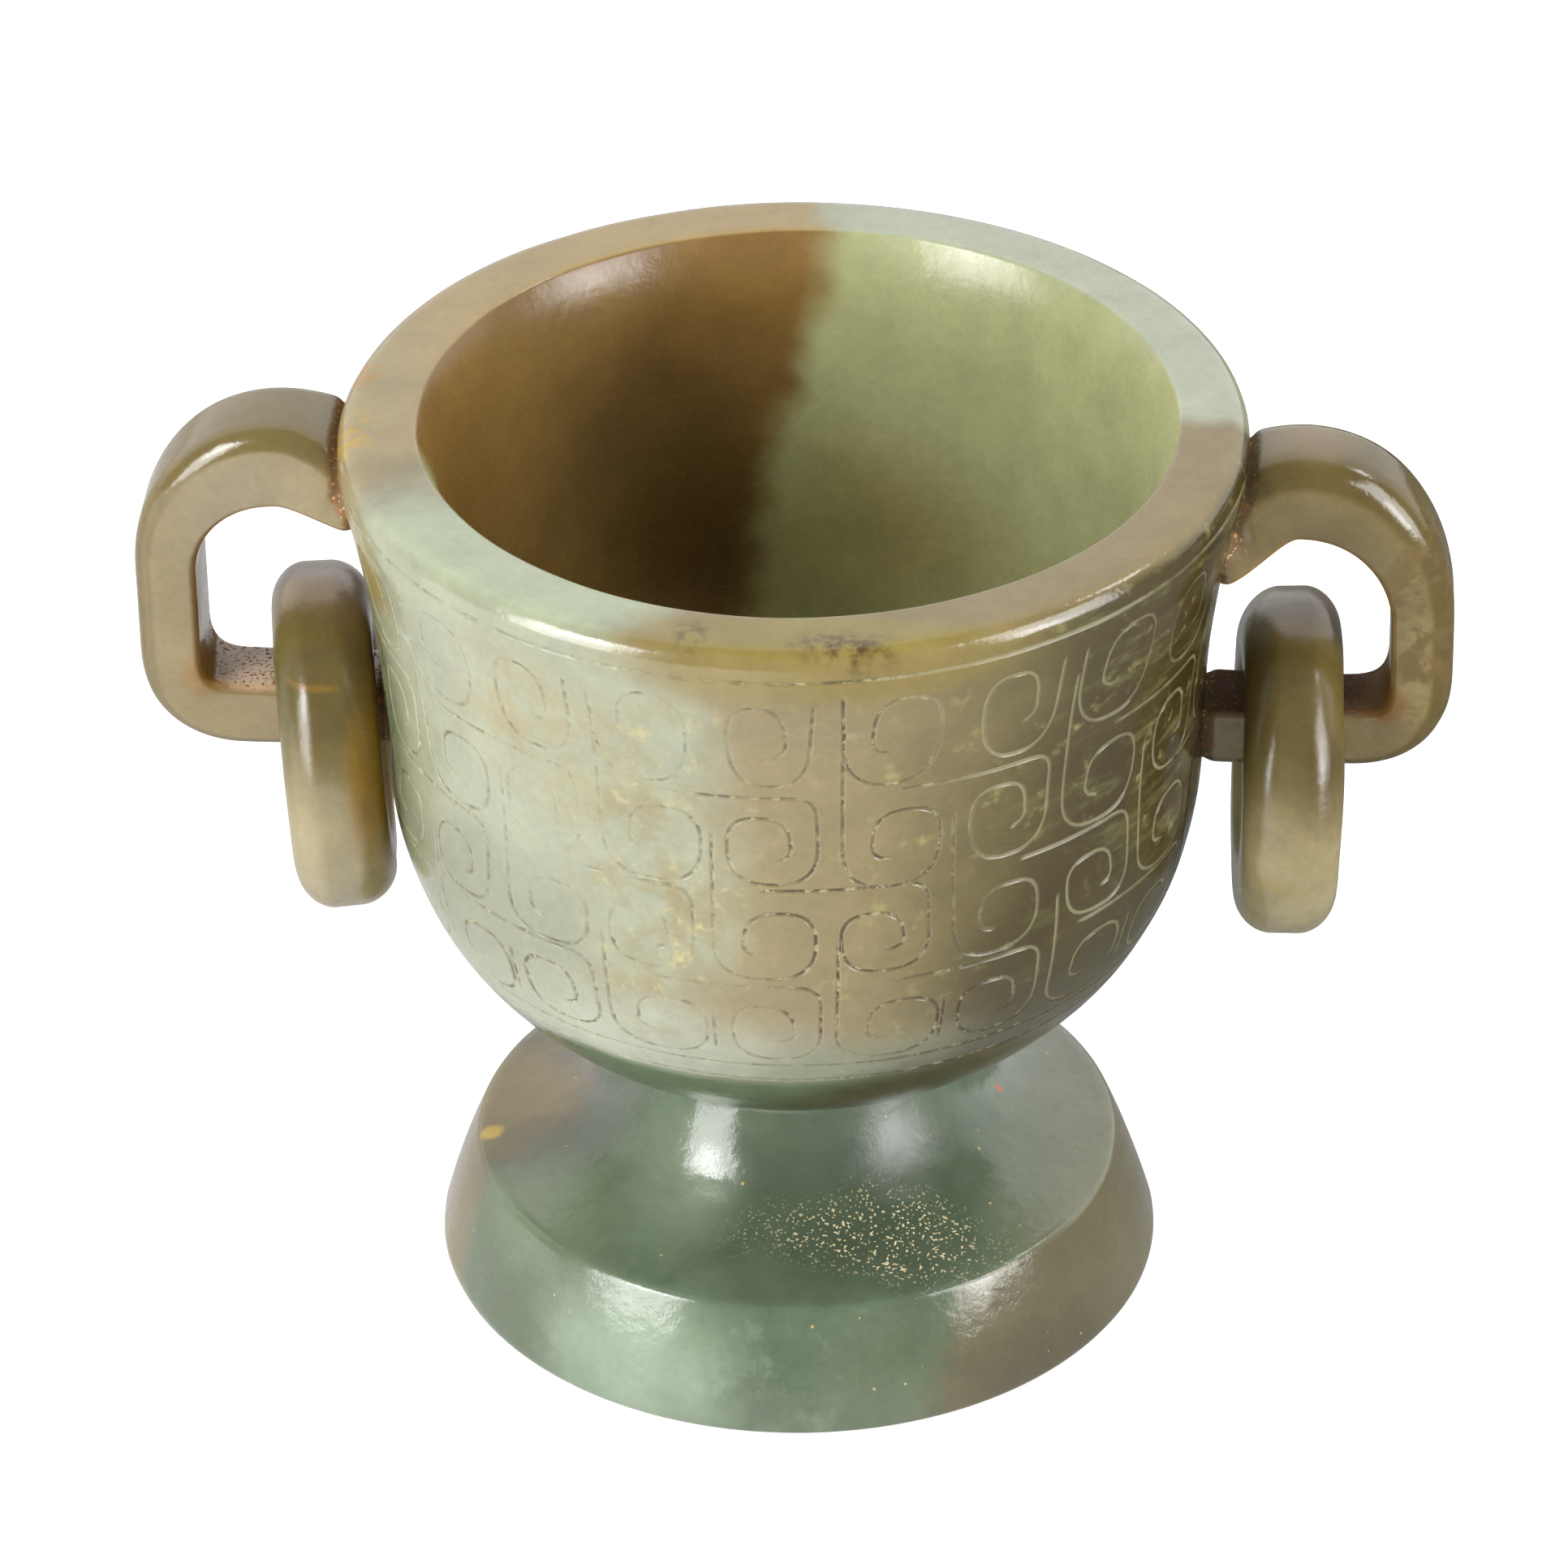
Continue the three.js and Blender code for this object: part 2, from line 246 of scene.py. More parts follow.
def wall_at(angle, down, depth):
    """Points on the wall at an angle and a distance down its line, sunk by a depth."""
    radius = np.interp(down, line_down, line_radius)
    height = np.interp(down, line_down, line_height)
    lean_r = np.interp(down, line_down, np.gradient(line_radius, line_down))
    lean_z = np.interp(down, line_down, np.gradient(line_height, line_down))
    radius = radius + depth * lean_z
    height = height - depth * lean_r
    return np.stack([radius * np.cos(angle), radius * np.sin(angle), height], -1)


print(f"the wall's line is {line_down[-1]:.1f} mm long")

# %% [markdown]
# ## The incised scrolls
# Four rows of squared scrolls go round the bowl, cut with a thin wheel. In each row every other
# scroll turns the other way, and each sends out a tail: one kind turns over the top of its
# neighbour and makes the line between two rows, the other runs straight up between the scrolls of
# the row above. A scroll is two half superellipses, an inner hook and its tail, and the whole
# pattern follows from where the rows and columns are.

# %% One scroll
SCROLL_SQUARENESS = 2.6
HOOK_WIDTH, HOOK_HEIGHT, SCROLL_MIDDLE = 0.4, 0.42, 0.16
LINE_STEP = 0.32


def arc(centre, reach, start, end, steps=24):
    """Part of a superellipse round a centre, from one angle to another in degrees."""
    turn = np.radians(np.linspace(start, end, steps))
    x = np.sign(np.cos(turn)) * np.abs(np.cos(turn)) ** (2 / SCROLL_SQUARENESS)
    y = np.sign(np.sin(turn)) * np.abs(np.sin(turn)) ** (2 / SCROLL_SQUARENESS)
    return np.array(centre) + np.stack([x, y], -1) * reach


def even_steps(path):
    """The same path with its points a line step apart."""
    length = np.concatenate([[0], np.cumsum(np.hypot(*np.diff(path, axis=0).T))])
    at = np.linspace(0, length[-1], max(int(length[-1] / LINE_STEP), 3))
    return np.stack([np.interp(at, length, path[:, i]) for i in (0, 1)], -1)


def scroll(half_width, half_height, tail, turned=False):
    """Hook, top half, bottom half and tail of a scroll that opens to the right, about its centre.
    The tail is a list of points after the right side, and turned mirrors the whole."""
    hook, middle = HOOK_WIDTH * half_width, SCROLL_MIDDLE * half_height
    path = np.concatenate([
        arc((0.05, middle), (hook, HOOK_HEIGHT * half_height), -95, 0),
        arc(((hook - half_width) / 2, middle), ((hook + half_width) / 2, half_height - middle), 0, 180),
        arc((0, middle), (half_width, half_height + middle), 180, 360),
        tail,
    ])
    return even_steps(path * [-1, 1] if turned else path)


print(f"scrolls are superellipses of the power {SCROLL_SQUARENESS}, in steps of {LINE_STEP} mm")

# %% Where the scrolls go
PAIRS = 11
PAIR_PITCH = 2 * np.pi / PAIRS
FIRST_ANGLE = np.radians(-89.3)
PARTNER_ANGLE = np.radians(15.6)
LINE_UNDER_LIP = 2.1
BORDER_DOWN = np.interp(LINE_UNDER_LIP - CUP_HEIGHT, -line_height, line_down)
ROW_DOWN = BORDER_DOWN + np.array([5.6, 15.0, 23.0, 30.8])
ROW_HALF_HEIGHT = [3.6, 2.95, 2.5, 2.6]
DIVIDER_RISE = 4.6
STRAIGHT_TAIL = [4.0, 11.8, 9.8, 8.4]
NARROW, WIDE, TALLER, LOWER = 3.0, 3.45, 1.05, 0.1
TURNED_ROW, TURNED_BACK = 2, np.radians(1.4)
OVER_REACH, TURNED_REACH, OVER_CORNER = -9.0, -8.2, 1.9
SHIFT_BY_HAND, SIZE_BY_HAND, REACH_BY_HAND, TAIL_BY_HAND = 0.12, 0.03, 0.7, 0.5
CLOSING_BAR = np.array([[-4.2, 2.6], [-4.3, -2.1]])
LOWER_BORDERS = BORDER_DOWN + np.array([34.5, 36.5])


def lay(path, angle, down):
    """A flat path in millimetres, laid on the wall round an angle and a distance down."""
    radius = np.interp(down, line_down, line_radius)
    return np.stack([angle + path[:, 0] / radius, down - path[:, 1]], -1)


def carved_lines():
    """Every incised line as an array of angle and distance down. Each pair is a narrow scroll whose
    tail goes over its neighbour and a wide one that is turned, with small slips of the hand. One row
    has the two in the other order, and the last has a bar beside each narrow scroll."""
    draw = np.random.default_rng(8)
    lines = []
    for row, (down, half_height) in enumerate(zip(ROW_DOWN, ROW_HALF_HEIGHT)):
        for pair in range(PAIRS):
            nudge = draw.normal(0, SHIFT_BY_HAND, (2, 2))
            size = draw.normal(1, SIZE_BY_HAND, (2, 2))
            first = FIRST_ANGLE + pair * PAIR_PITCH
            second = first + PARTNER_ANGLE
            if row == TURNED_ROW:
                first, second = second, first - TURNED_BACK
            reach = (TURNED_REACH if row == TURNED_ROW else OVER_REACH) + draw.normal(0, REACH_BY_HAND)
            corner_at = (NARROW - OVER_CORNER, DIVIDER_RISE - OVER_CORNER)
            corner = arc(corner_at, (OVER_CORNER, OVER_CORNER), 0, 90, 10)
            over = np.concatenate([corner, [[reach, DIVIDER_RISE]]])
            straight = [[NARROW, STRAIGHT_TAIL[0]]]
            tail = straight if row == 0 else over
            body = scroll(NARROW * size[0, 0], half_height * size[0, 1], tail)
            lines.append(lay(body + nudge[0], first, down))
            up = STRAIGHT_TAIL[row] + draw.normal(0, TAIL_BY_HAND)
            body = scroll(WIDE * size[1, 0], TALLER * half_height * size[1, 1], [[WIDE, up]], turned=True)
            lines.append(lay(body + nudge[1], second, down + LOWER))
            if row == len(ROW_DOWN) - 1:
                lines.append(lay(even_steps(CLOSING_BAR + nudge[0]), first, down))
    return lines


lines = carved_lines()
print(f"{len(lines)} incised lines, {sum(len(line) for line in lines) * LINE_STEP / 1000:.1f} m of cutting")

# %% [markdown]
# ## Cutting the lines into the wall
# A plain grid fine enough for a line 0.4 mm wide would need about a million faces. So
# the wall's points are those of a coarse grid, plus the rows that a groove's own section carries
# along each line: two shoulders on the surface and two points sunk below it. A triangulation joins
# them in the flat plane of angle and distance, and only then does the wall's function bend them.

# %% Groove rows
GROOVE_HALF_WIDTH, GROOVE_FLOOR = 0.2, 0.07
GROOVE_DEPTH = 0.11
SECTION = np.array([-GROOVE_HALF_WIDTH, -GROOVE_FLOOR, GROOVE_FLOOR, GROOVE_HALF_WIDTH])
SUNK = np.array([0, 1, 1, 0])
RUN_OUT = 2
USUAL_LEFT, CRISP_GAIN, LEAST_LEFT = 0.62, 0.3, 0.08
CRISP_FROM, CRISP_OVER = 2, 14
WEAR_RADIUS = 30


def wear(angle, down):
    """How much of a line is left, from 0 to 1: old polish has eaten it away in places, by patches
    of 16 mm and grains of 1.1 and 0.45 mm, and less of it on the right."""
    x, y = WEAR_RADIUS * np.cos(angle), WEAR_RADIUS * np.sin(angle)
    patches = waves(x, y, down, 5, 16, 0.25)
    grains = waves(x, y, down, 6, 1.1, 0.22) + waves(x, y, down, 7, 0.45, 0.15)
    crisp = np.clip((x - CRISP_FROM) / CRISP_OVER, 0, 1)
    left = USUAL_LEFT + CRISP_GAIN * crisp + patches + grains * (1 - 0.5 * crisp)
    return np.clip(left, LEAST_LEFT, 1.0)


def groove_rows(line, closed=False):
    """The four rows of points that the groove's section leaves along a line, and their depths. The
    cut runs out over its last steps."""
    angle, down = line.T
    radius = np.interp(down, line_down, line_radius)
    step = np.gradient(np.stack([angle * radius.mean(), down], -1), axis=0)
    if closed:
        step = np.tile([1.0, 0.0], (len(line), 1))
    step /= np.linalg.norm(step, axis=1)[:, None]
    side = np.stack([-step[:, 1] / radius, step[:, 0]], -1)
    points = line[None] + SECTION[:, None, None] * side[None]
    left = wear(angle, down)
    if not closed:
        ends = np.minimum(np.arange(len(line)), np.arange(len(line))[::-1])
        left = left * np.clip(ends / RUN_OUT, 0, 1)
    return points, SUNK[:, None] * left[None]


print(f"grooves {2 * GROOVE_HALF_WIDTH} mm wide and up to {GROOVE_DEPTH} mm deep")

# %% Points and edges of the carved wall in the flat
AROUND = 264
GRID_STEP = 1.05
FLAT_RADIUS = BELLY_RADIUS
BAND_MARGIN = 1.2
BAND_END = LOWER_BORDERS[1] + BAND_MARGIN
BORDER_STEPS = 480


def round_angles(steps):
    """Angles right round the cup in even steps, from its left side."""
    return np.arange(steps) * 2 * np.pi / steps - np.pi


def closed_line(down, steps):
    """A line right round the bowl at a distance down."""
    return np.stack([round_angles(steps), np.full(steps, down)], -1)


def carved_band():
    """All points of the wall as angle and distance down, their depth, and the rows as index arrays."""
    flat, depth, rows, count = [], [], [], 0

    def add(points, sunk, loop):
        nonlocal count
        flat.append(points)
        depth.append(sunk)
        rows.append((count + np.arange(len(points)), loop))
        count += len(points)

    for down in (0.0, BAND_END):
        add(closed_line(down, AROUND), np.zeros(AROUND), True)
    for down in (BORDER_DOWN, *LOWER_BORDERS):
        for points, sunk in zip(*groove_rows(closed_line(down, BORDER_STEPS), closed=True)):
            add(points, sunk, True)
    for line in lines:
        for points, sunk in zip(*groove_rows(line)):
            add(points, sunk, False)
    return flat, depth, rows


flat, depth, rows = carved_band()
carved_count = sum(len(points) for points in flat)
print(f"{carved_count} points on the lines")

# %% [markdown]
# The grid's points keep clear of the lines. A coarse picture of the flat wall is marked wherever a
# line passes, and grid points that fall on a mark are dropped.

# %% Grid points between the lines
MARK = 0.25
CLEARANCE = 0.6
JITTER = 0.06


def free_grid(flat):
    """Jittered grid points that lie farther than the clearance from every line."""
    taken = np.concatenate(flat)
    across = int(2 * np.pi * FLAT_RADIUS / MARK)
    marks = np.zeros((across, int(BAND_END / MARK) + 2), bool)
    column = (taken[:, 0] + np.pi) / (2 * np.pi) * across
    reach = int(CLEARANCE / MARK)
    for i in range(-reach, reach + 1):
        for j in range(-reach, reach + 1):
            if i * i + j * j <= reach * reach:
                row = np.clip((taken[:, 1] / MARK).astype(int) + j, 0, marks.shape[1] - 1)
                marks[(column.astype(int) + i) % across, row] = True
    angle = np.arange(-np.pi, np.pi, GRID_STEP / FLAT_RADIUS)
    grid = np.stack(np.meshgrid(angle, np.arange(0.5, BAND_END, GRID_STEP)), -1).reshape(-1, 2)
    draw = np.random.default_rng(3)
    grid = grid + draw.normal(0, JITTER, grid.shape) / [FLAT_RADIUS, 1]
    where = ((grid[:, 0] + np.pi) / (2 * np.pi) * across).astype(int) % across
    return grid[~marks[where, (grid[:, 1] / MARK).astype(int)]]


grid = free_grid(flat)
flat_points = np.concatenate([*flat, grid])
flat_depth = np.concatenate([*depth, np.zeros(len(grid))])
print(f"{len(grid)} grid points between the lines")

# %% [markdown]
# The flat wall is a strip whose two ends meet behind the left handle. So it is triangulated
# with a margin of its own points repeated past each end, and of the triangles only those whose
# middle lies in the strip are kept. Both ends then fit each other exactly.

# %% Triangles of the carved wall
MARGIN = 0.35
SMALLEST = 1e-7
CROSSING_DEPTH = 0.6


def triangulate(points, rows):
    """Constrained triangulation of a strip that closes on itself. Rows become edges of triangles.
    Where two rows cross, the crossing becomes a point of its own. Returns all points and faces."""
    places, owners, edges, total = [], [], [], 0
    copies = {}
    for turn in (-1, 0, 1):
        angle = points[:, 0] + turn * 2 * np.pi
        inside = np.abs(angle) <= np.pi + MARGIN
        number = np.full(len(points), -1)
        number[inside] = total + np.arange(inside.sum())
        places.append(np.stack([angle[inside] * FLAT_RADIUS, -points[inside, 1]], -1))
        owners.append(np.flatnonzero(inside))
        copies[turn] = number
        total += inside.sum()
    for row, loop in rows:
        for number in copies.values():
            pair = np.stack([number[row[:-1]], number[row[1:]]], -1)
            edges.append(pair[(pair >= 0).all(1)])
        if loop:
            for turn in (-1, 0):
                pair = np.array([[copies[turn][row[-1]], copies[turn + 1][row[0]]]])
                edges.append(pair[(pair >= 0).all(1)])
    places, owners = np.concatenate(places), np.concatenate(owners)
    result = delaunay_2d_cdt(places.tolist(), np.concatenate(edges).tolist(), [], 0, SMALLEST, True)
    where = np.array([list(vertex) for vertex in result[0]])
    known = np.array([original[0] if original else -1 for original in result[3]])
    source = np.where(known >= 0, owners[known], -1)
    crossing = np.flatnonzero(source < 0)
    angle = (where[crossing, 0] / FLAT_RADIUS + np.pi) % (2 * np.pi) - np.pi
    found = np.stack([angle, -where[crossing, 1]], -1)
    _, first, same = np.unique(np.round(found, 4), axis=0, return_index=True, return_inverse=True)
    source[crossing] = len(points) + same.ravel()
    corners = np.array(result[2])
    middle = where[corners][..., 0].mean(1) / FLAT_RADIUS
    corners = corners[(middle >= -np.pi) & (middle < np.pi)]
    a, b, c = (where[corners[:, i]] for i in range(3))
    backward = (b - a)[:, 0] * (c - a)[:, 1] - (b - a)[:, 1] * (c - a)[:, 0] < 0
    corners[backward] = corners[backward][:, ::-1]
    return np.concatenate([points, found[first]]), source[corners]


flat_points, band_faces = triangulate(flat_points, rows)
crossings = len(flat_points) - len(flat_depth)
flat_depth = np.concatenate([flat_depth, np.full(crossings, CROSSING_DEPTH)])
print(f"carved wall: {len(flat_points)} points, {crossings} crossings, {len(band_faces)} triangles")

# %% [markdown]
# ## The bowl's lip, hollow and underside
# These are plain surfaces of revolution, so a profile is turned about the axis: round the lip,
# over the flat rim, down the hollow to the middle of its floor, and under the wall to the neck.
# Their rows have as many points as the carved wall's edges, and they share those edges.

# %% Profiles
CLOSER_ROWS = 1.5


def turn_round(centre, radius, start, end, steps):
    """An arc of radius and height, from one angle to another in degrees."""
    turn = np.radians(np.linspace(start, end, steps))
    return np.stack([centre[0] + radius * np.cos(turn), centre[1] + radius * np.sin(turn)], -1)


def hollow_profile():
    """Lip rounding, rim, mouth rounding, inner wall and the hollow's own superellipse. The inner
    wall flares to the mouth as a high power of its height, which leaves a soft worn bevel. Returns
    the profile and how many of its rows are lip and rim."""
    mouth = RIM_RADIUS - RIM_WALL
    slim = BELLY_RADIUS - BELLY_WALL
    depth_in = BELLY_TOP - NECK_HEIGHT - FLOOR_THICKNESS
    lip = turn_round((RIM_RADIUS - LIP_ROUNDING, CUP_HEIGHT - LIP_ROUNDING), LIP_ROUNDING, 0, 90, 8)[1:]
    edge = turn_round((mouth + MOUTH_ROUNDING, CUP_HEIGHT - MOUTH_ROUNDING), MOUTH_ROUNDING, 90, 150, 6)
    rim = np.linspace(lip[-1], edge[0], 5)[1:-1]
    rise = 1 - np.linspace(0, 1, 36)[1:] ** CLOSER_ROWS
    inner_radius = slim + (edge[-1, 0] - slim) * rise**MOUTH_FLARE
    wall = np.stack([inner_radius, BELLY_TOP + (edge[-1, 1] - BELLY_TOP) * rise], -1)
    turn = np.linspace(0, np.pi / 2, 26)[1:-1]
    bottom_r = slim * np.cos(turn) ** (2 / BELLY_FULLNESS)
    bottom_z = BELLY_TOP - depth_in * np.sin(turn) ** (2 / BELLY_FULLNESS)
    return np.concatenate([lip, rim, edge, wall, np.stack([bottom_r, bottom_z], -1)]), len(lip) + len(rim)


def spin(profile):
    """Profile of radius and height turned about the axis, row by row from its first point."""
    radius, height = profile[:, :1], profile[:, 1:]
    x, y = radius * np.cos(round_angles(AROUND)), radius * np.sin(round_angles(AROUND))
    return np.stack([x, y, np.broadcast_to(height, x.shape)], -1).reshape(-1, 3)


hollow_line, rim_rows = hollow_profile()
under_down = np.linspace(BAND_END, line_down[-1], 18)[1:]
under_line = np.stack([np.interp(under_down, line_down, v) for v in (line_radius, line_height)], -1)
print(f"hollow profile {len(hollow_line)} points, underside {len(under_line)}")

# %% The whole bowl
JOIN_CALM = 6
MOUTH_ROWS = 4


def make_bowl():
    """Carved wall, hollow and underside as one closed skin, with masks for groove and hollow."""
    wall = wall_at(flat_points[:, 0], flat_points[:, 1], flat_depth * GROOVE_DEPTH)
    inner, under = spin(hollow_line), spin(under_line)
    past_lip = RIM_RADIUS - LIP_ROUNDING - np.hypot(inner[:, :1], inner[:, 1:2])
    inner = inner + MOUTH_SHIFT * np.clip(past_lip / (RIM_WALL - LIP_ROUNDING), 0, 1)
    middles = [[0, 0, NECK_HEIGHT + FLOOR_THICKNESS], [0, 0, NECK_HEIGHT]]
    points = np.concatenate([wall, inner, under, middles])
    first_inner = len(wall)
    first_under = first_inner + len(inner)
    floor_at, neck_at = len(points) - 2, len(points) - 1
    ring = np.arange(AROUND)
    ladder = grid_faces(2, AROUND)
    faces = np.concatenate([
        band_faces,
        np.concatenate([ring, first_inner + ring])[ladder],
        grid_faces(len(hollow_line), AROUND, first_inner),
        fan_faces(first_under - AROUND + ring, floor_at),
        np.concatenate([AROUND + ring, first_under + ring])[ladder][:, ::-1],
        grid_faces(len(under_line), AROUND, first_under)[:, ::-1],
        fan_faces(floor_at - AROUND + ring, neck_at)[:, ::-1],
    ])
    calm = np.clip((points[:, 2] - NECK_HEIGHT) / JOIN_CALM, 0, 1)
    points = pushed_out(points, uneven(points, seed=21, slow=0.10, quick=0.02) * calm)
    groove, hollow = np.zeros(len(points)), np.zeros(len(points))
    groove[: len(flat_depth)] = flat_depth
    hollow[first_inner + (rim_rows + MOUTH_ROWS) * AROUND: first_under] = 1
    hollow[floor_at] = 1
    # After the band's two edges every line has four rows, and its outer two stay sharp.
    creases = np.concatenate([
        np.stack([row[:-1], row[1:]], -1) for row, _ in rows[2::4] + rows[5::4]
    ])
    return make_piece("jade_bowl", points, faces, {"groove": groove, "hollow": hollow}, creases)


bowl = make_bowl()
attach(bowl, "cup")
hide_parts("bowl")

# %% [markdown]
# ## The foot
# A narrow neck sweeps out to a crisp ledge, and a skirt leans out below it to the flat ring that the
# cup stands on. Underneath is a shallow hollow. It is a turned surface as well, from curves.

# %% Foot
LEDGE_RADIUS, LEDGE_HEIGHT = 23.0, 8.8
WAIST_RADIUS, WAIST_HEIGHT = 10.8, 17.6
WAIST_PULL, LEDGE_PULL = (0.16, 0.61), (0.62, 0.17)
EDGE_ROUNDING, BASE_ROUNDING = 0.35, 0.8
RESTING_RING, RECESS_DEPTH, RECESS_SLOPE = 5.4, 3.0, 1.6
SKIRT_BULGE, LEFT_SWELL = 0.14, 0.35


def bezier(points, steps):
    """A curve pulled by its points, in even steps of its parameter."""
    points = np.array(points, float)
    at = np.linspace(0, 1, steps)[:, None, None]
    while points.shape[-2] > 1:
        points = points[..., :-1, :] * (1 - at) + points[..., 1:, :] * at
    return points[:, 0, :]


def foot_profile():
    """Neck, sweep, ledge, skirt, resting ring and recess, from the top down and in to the axis.
    The number after each curve's points says in how many steps it is drawn."""
    sweep, rise = LEDGE_RADIUS - WAIST_RADIUS, WAIST_HEIGHT - LEDGE_HEIGHT
    lean = (BASE_RADIUS - LEDGE_RADIUS) / LEDGE_HEIGHT
    inner = BASE_RADIUS - BASE_ROUNDING - RESTING_RING
    ledge_in = (LEDGE_RADIUS - EDGE_ROUNDING, LEDGE_HEIGHT + EDGE_ROUNDING / 2)
    ledge_out = (LEDGE_RADIUS + EDGE_ROUNDING * lean, LEDGE_HEIGHT - EDGE_ROUNDING)
    skirt_end = (BASE_RADIUS - BASE_ROUNDING * lean, BASE_ROUNDING)
    foot_edge = (BASE_RADIUS - BASE_ROUNDING, 0)
    middle_out = (np.array(ledge_out) + skirt_end) / 2 + [2 * SKIRT_BULGE, 2 * SKIRT_BULGE * lean]
    stretches = [
        bezier([(JOIN_RADIUS, NECK_HEIGHT), (WAIST_RADIUS, NECK_HEIGHT), (WAIST_RADIUS, WAIST_HEIGHT)], 10),
        bezier([
            (WAIST_RADIUS, WAIST_HEIGHT),
            (WAIST_RADIUS + WAIST_PULL[0] * sweep, WAIST_HEIGHT - WAIST_PULL[1] * rise),
            (LEDGE_RADIUS - LEDGE_PULL[0] * sweep, LEDGE_HEIGHT + LEDGE_PULL[1] * rise), ledge_in,
        ], 34)[1:],
        bezier([ledge_in, (LEDGE_RADIUS, LEDGE_HEIGHT), ledge_out], 6)[1:],
        bezier([ledge_out, middle_out, skirt_end], 20)[1:],
        bezier([skirt_end, (BASE_RADIUS, 0), foot_edge], 6)[1:],
        bezier([foot_edge, (inner, 0)], 6)[1:],
        bezier([(inner, 0), (inner - RECESS_SLOPE, RECESS_DEPTH)], 5)[1:],
        bezier([(inner - RECESS_SLOPE, RECESS_DEPTH), (0, RECESS_DEPTH)], 12)[1:-1],
    ]
    return np.concatenate(stretches)


def make_foot():
    """The foot's profile turned about the axis, closed above at the neck and below in the recess."""
    profile = foot_profile()
    body = spin(profile)
    points = np.concatenate([body, [[0, 0, NECK_HEIGHT], [0, 0, RECESS_DEPTH]]])
    last = len(body) - AROUND + np.arange(AROUND)
    faces = np.concatenate([
        grid_faces(len(profile), AROUND)[:, ::-1],
        fan_faces(np.arange(AROUND), len(body)),
        fan_faces(last, len(body) + 1)[:, ::-1],
    ])
    x, y, level = points.T
    calm = np.clip((NECK_HEIGHT - level) / JOIN_CALM, 0, 1) * np.clip(level, 0, 1)
    swell = LEFT_SWELL * np.clip(-x / np.maximum(np.hypot(x, y), 1), 0, 1) ** 2
    points = pushed_out(points, (uneven(points, seed=41, slow=0.12, quick=0.025) + swell) * calm)
    return make_piece("jade_foot", points, faces)


foot = make_foot()
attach(foot, "cup")
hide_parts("foot")

# %% [markdown]
# ## The handles
# A strap springs from the lip, arches over and comes back to the wall as a level bar. Its section
# is a rectangle with soft outer edges and tight inner ones, and its width and thickness change all
# the way. The section is carried along one middle line and pinched where it meets the wall, which
# leaves the narrow furrow that holds old dirt.

# %% Strap
LOOP_REACH, BAR_DROP, ROOT_BURY = 12.8, 21.35, 2.4
LEFT_ROOT, RIGHT_ROOT = (11.2, 4.8, 1.6, 0.8), (11.2, 6.6, 2.2, 0.8)
CROWN, LEG, BAR = (8.0, 5.9, 1.6, 0.6), (6.8, 4.3, 1.5, 0.6), (6.0, 4.8, 0.8, 0.8)
BAR_HEIGHT = CUP_HEIGHT - BAR_DROP - BAR[1] / 2
LEFT_LINE = {"start": (2.4, 5.2), "bend": (0.0, 4.5), "level": 2.1, "crown_drop": 3.15,
             "reach": 4.2, "fall": 9.2, "corner": 5.0}
RIGHT_LINE = {"start": (3.4, 7.3), "bend": (1.0, 6.3), "level": 2.8, "crown_drop": 3.9,
              "reach": 3.8, "fall": 10.0, "corner": 4.8}
QUARTER_PULL = 0.55
PINCH, PINCH_REACH = 0.10, 0.5
HAND_SWAY, HAND_LENGTH = 0.07, 14
DIRT_REACH, BAR_DIRT_REACH = 0.8, 3
INNER_RISE, INNER_FROM, OUTER_RISE, OUTER_FROM = 8, 6.6, 4, 3.4


def strap_line(root, start, bend, level, crown_drop, reach, fall, corner):
    """Middle line in radius and height, with the section blended from one stretch to the next.
    Start and bend are points back from the lip and down from the rim. The line is level from a
    length before the crown, whose reach is from the lip. Fall is the height of the outer quarter
    and corner the radius at the bottom. Every curve is a Bezier curve."""
    crown_x, crown_z = RIM_RADIUS + reach, CUP_HEIGHT - crown_drop
    leg_x, leg_top = BELLY_RADIUS + LOOP_REACH + LEG[1] / 2, crown_z - fall
    first, second = ((RIM_RADIUS - back, CUP_HEIGHT - down) for back, down in (start, bend))
    crown, leg = (crown_x, crown_z), (leg_x, leg_top)
    over = (crown_x + QUARTER_PULL * (leg_x - crown_x), crown_z)
    beside = (leg_x, leg_top + QUARTER_PULL * fall)
    above, below, past = (leg_x, BAR_HEIGHT + corner), (leg_x, BAR_HEIGHT), (leg_x - corner, BAR_HEIGHT)
    stretches = [
        ([first, second, (crown_x - level, crown_z), crown], root, CROWN, 40),
        ([crown, over, beside, leg], CROWN, LEG, 56),
        ([leg, above], LEG, LEG, 16),
        ([above, below, past], LEG, BAR, 24),
        ([past, (BELLY_RADIUS - ROOT_BURY, BAR_HEIGHT)], BAR, BAR, 44),
    ]
    line, section = [], []
    for index, (points, before, after, steps) in enumerate(stretches):
        share = np.linspace(0, 1, steps)[:, None]
        eased = share * share * (3 - 2 * share)
        keep = slice(0 if index == 0 else 1, None)
        line.append(bezier(points, steps)[keep])
        section.append((np.array(before) * (1 - eased) + np.array(after) * eased)[keep])
    return np.concatenate(line), np.concatenate(section)


def strap_section(section, steps=9):
    """Rounded rectangles, one for each row of width, thickness, outer rounding and inner rounding."""
    width, thickness, outer, inner = section.T[..., None]
    turn = np.radians(np.linspace(0, 90, steps))
    corners = [(1, 1, outer, 0), (-1, 1, outer, 90), (-1, -1, inner, 180), (1, -1, inner, 270)]
    across = [sx * (width / 2 - r) + r * np.cos(turn + np.radians(a)) for sx, _, r, a in corners]
    out = [sy * (thickness / 2 - r) + r * np.sin(turn + np.radians(a)) for _, sy, r, a in corners]
    return np.concatenate(across, 1), np.concatenate(out, 1)


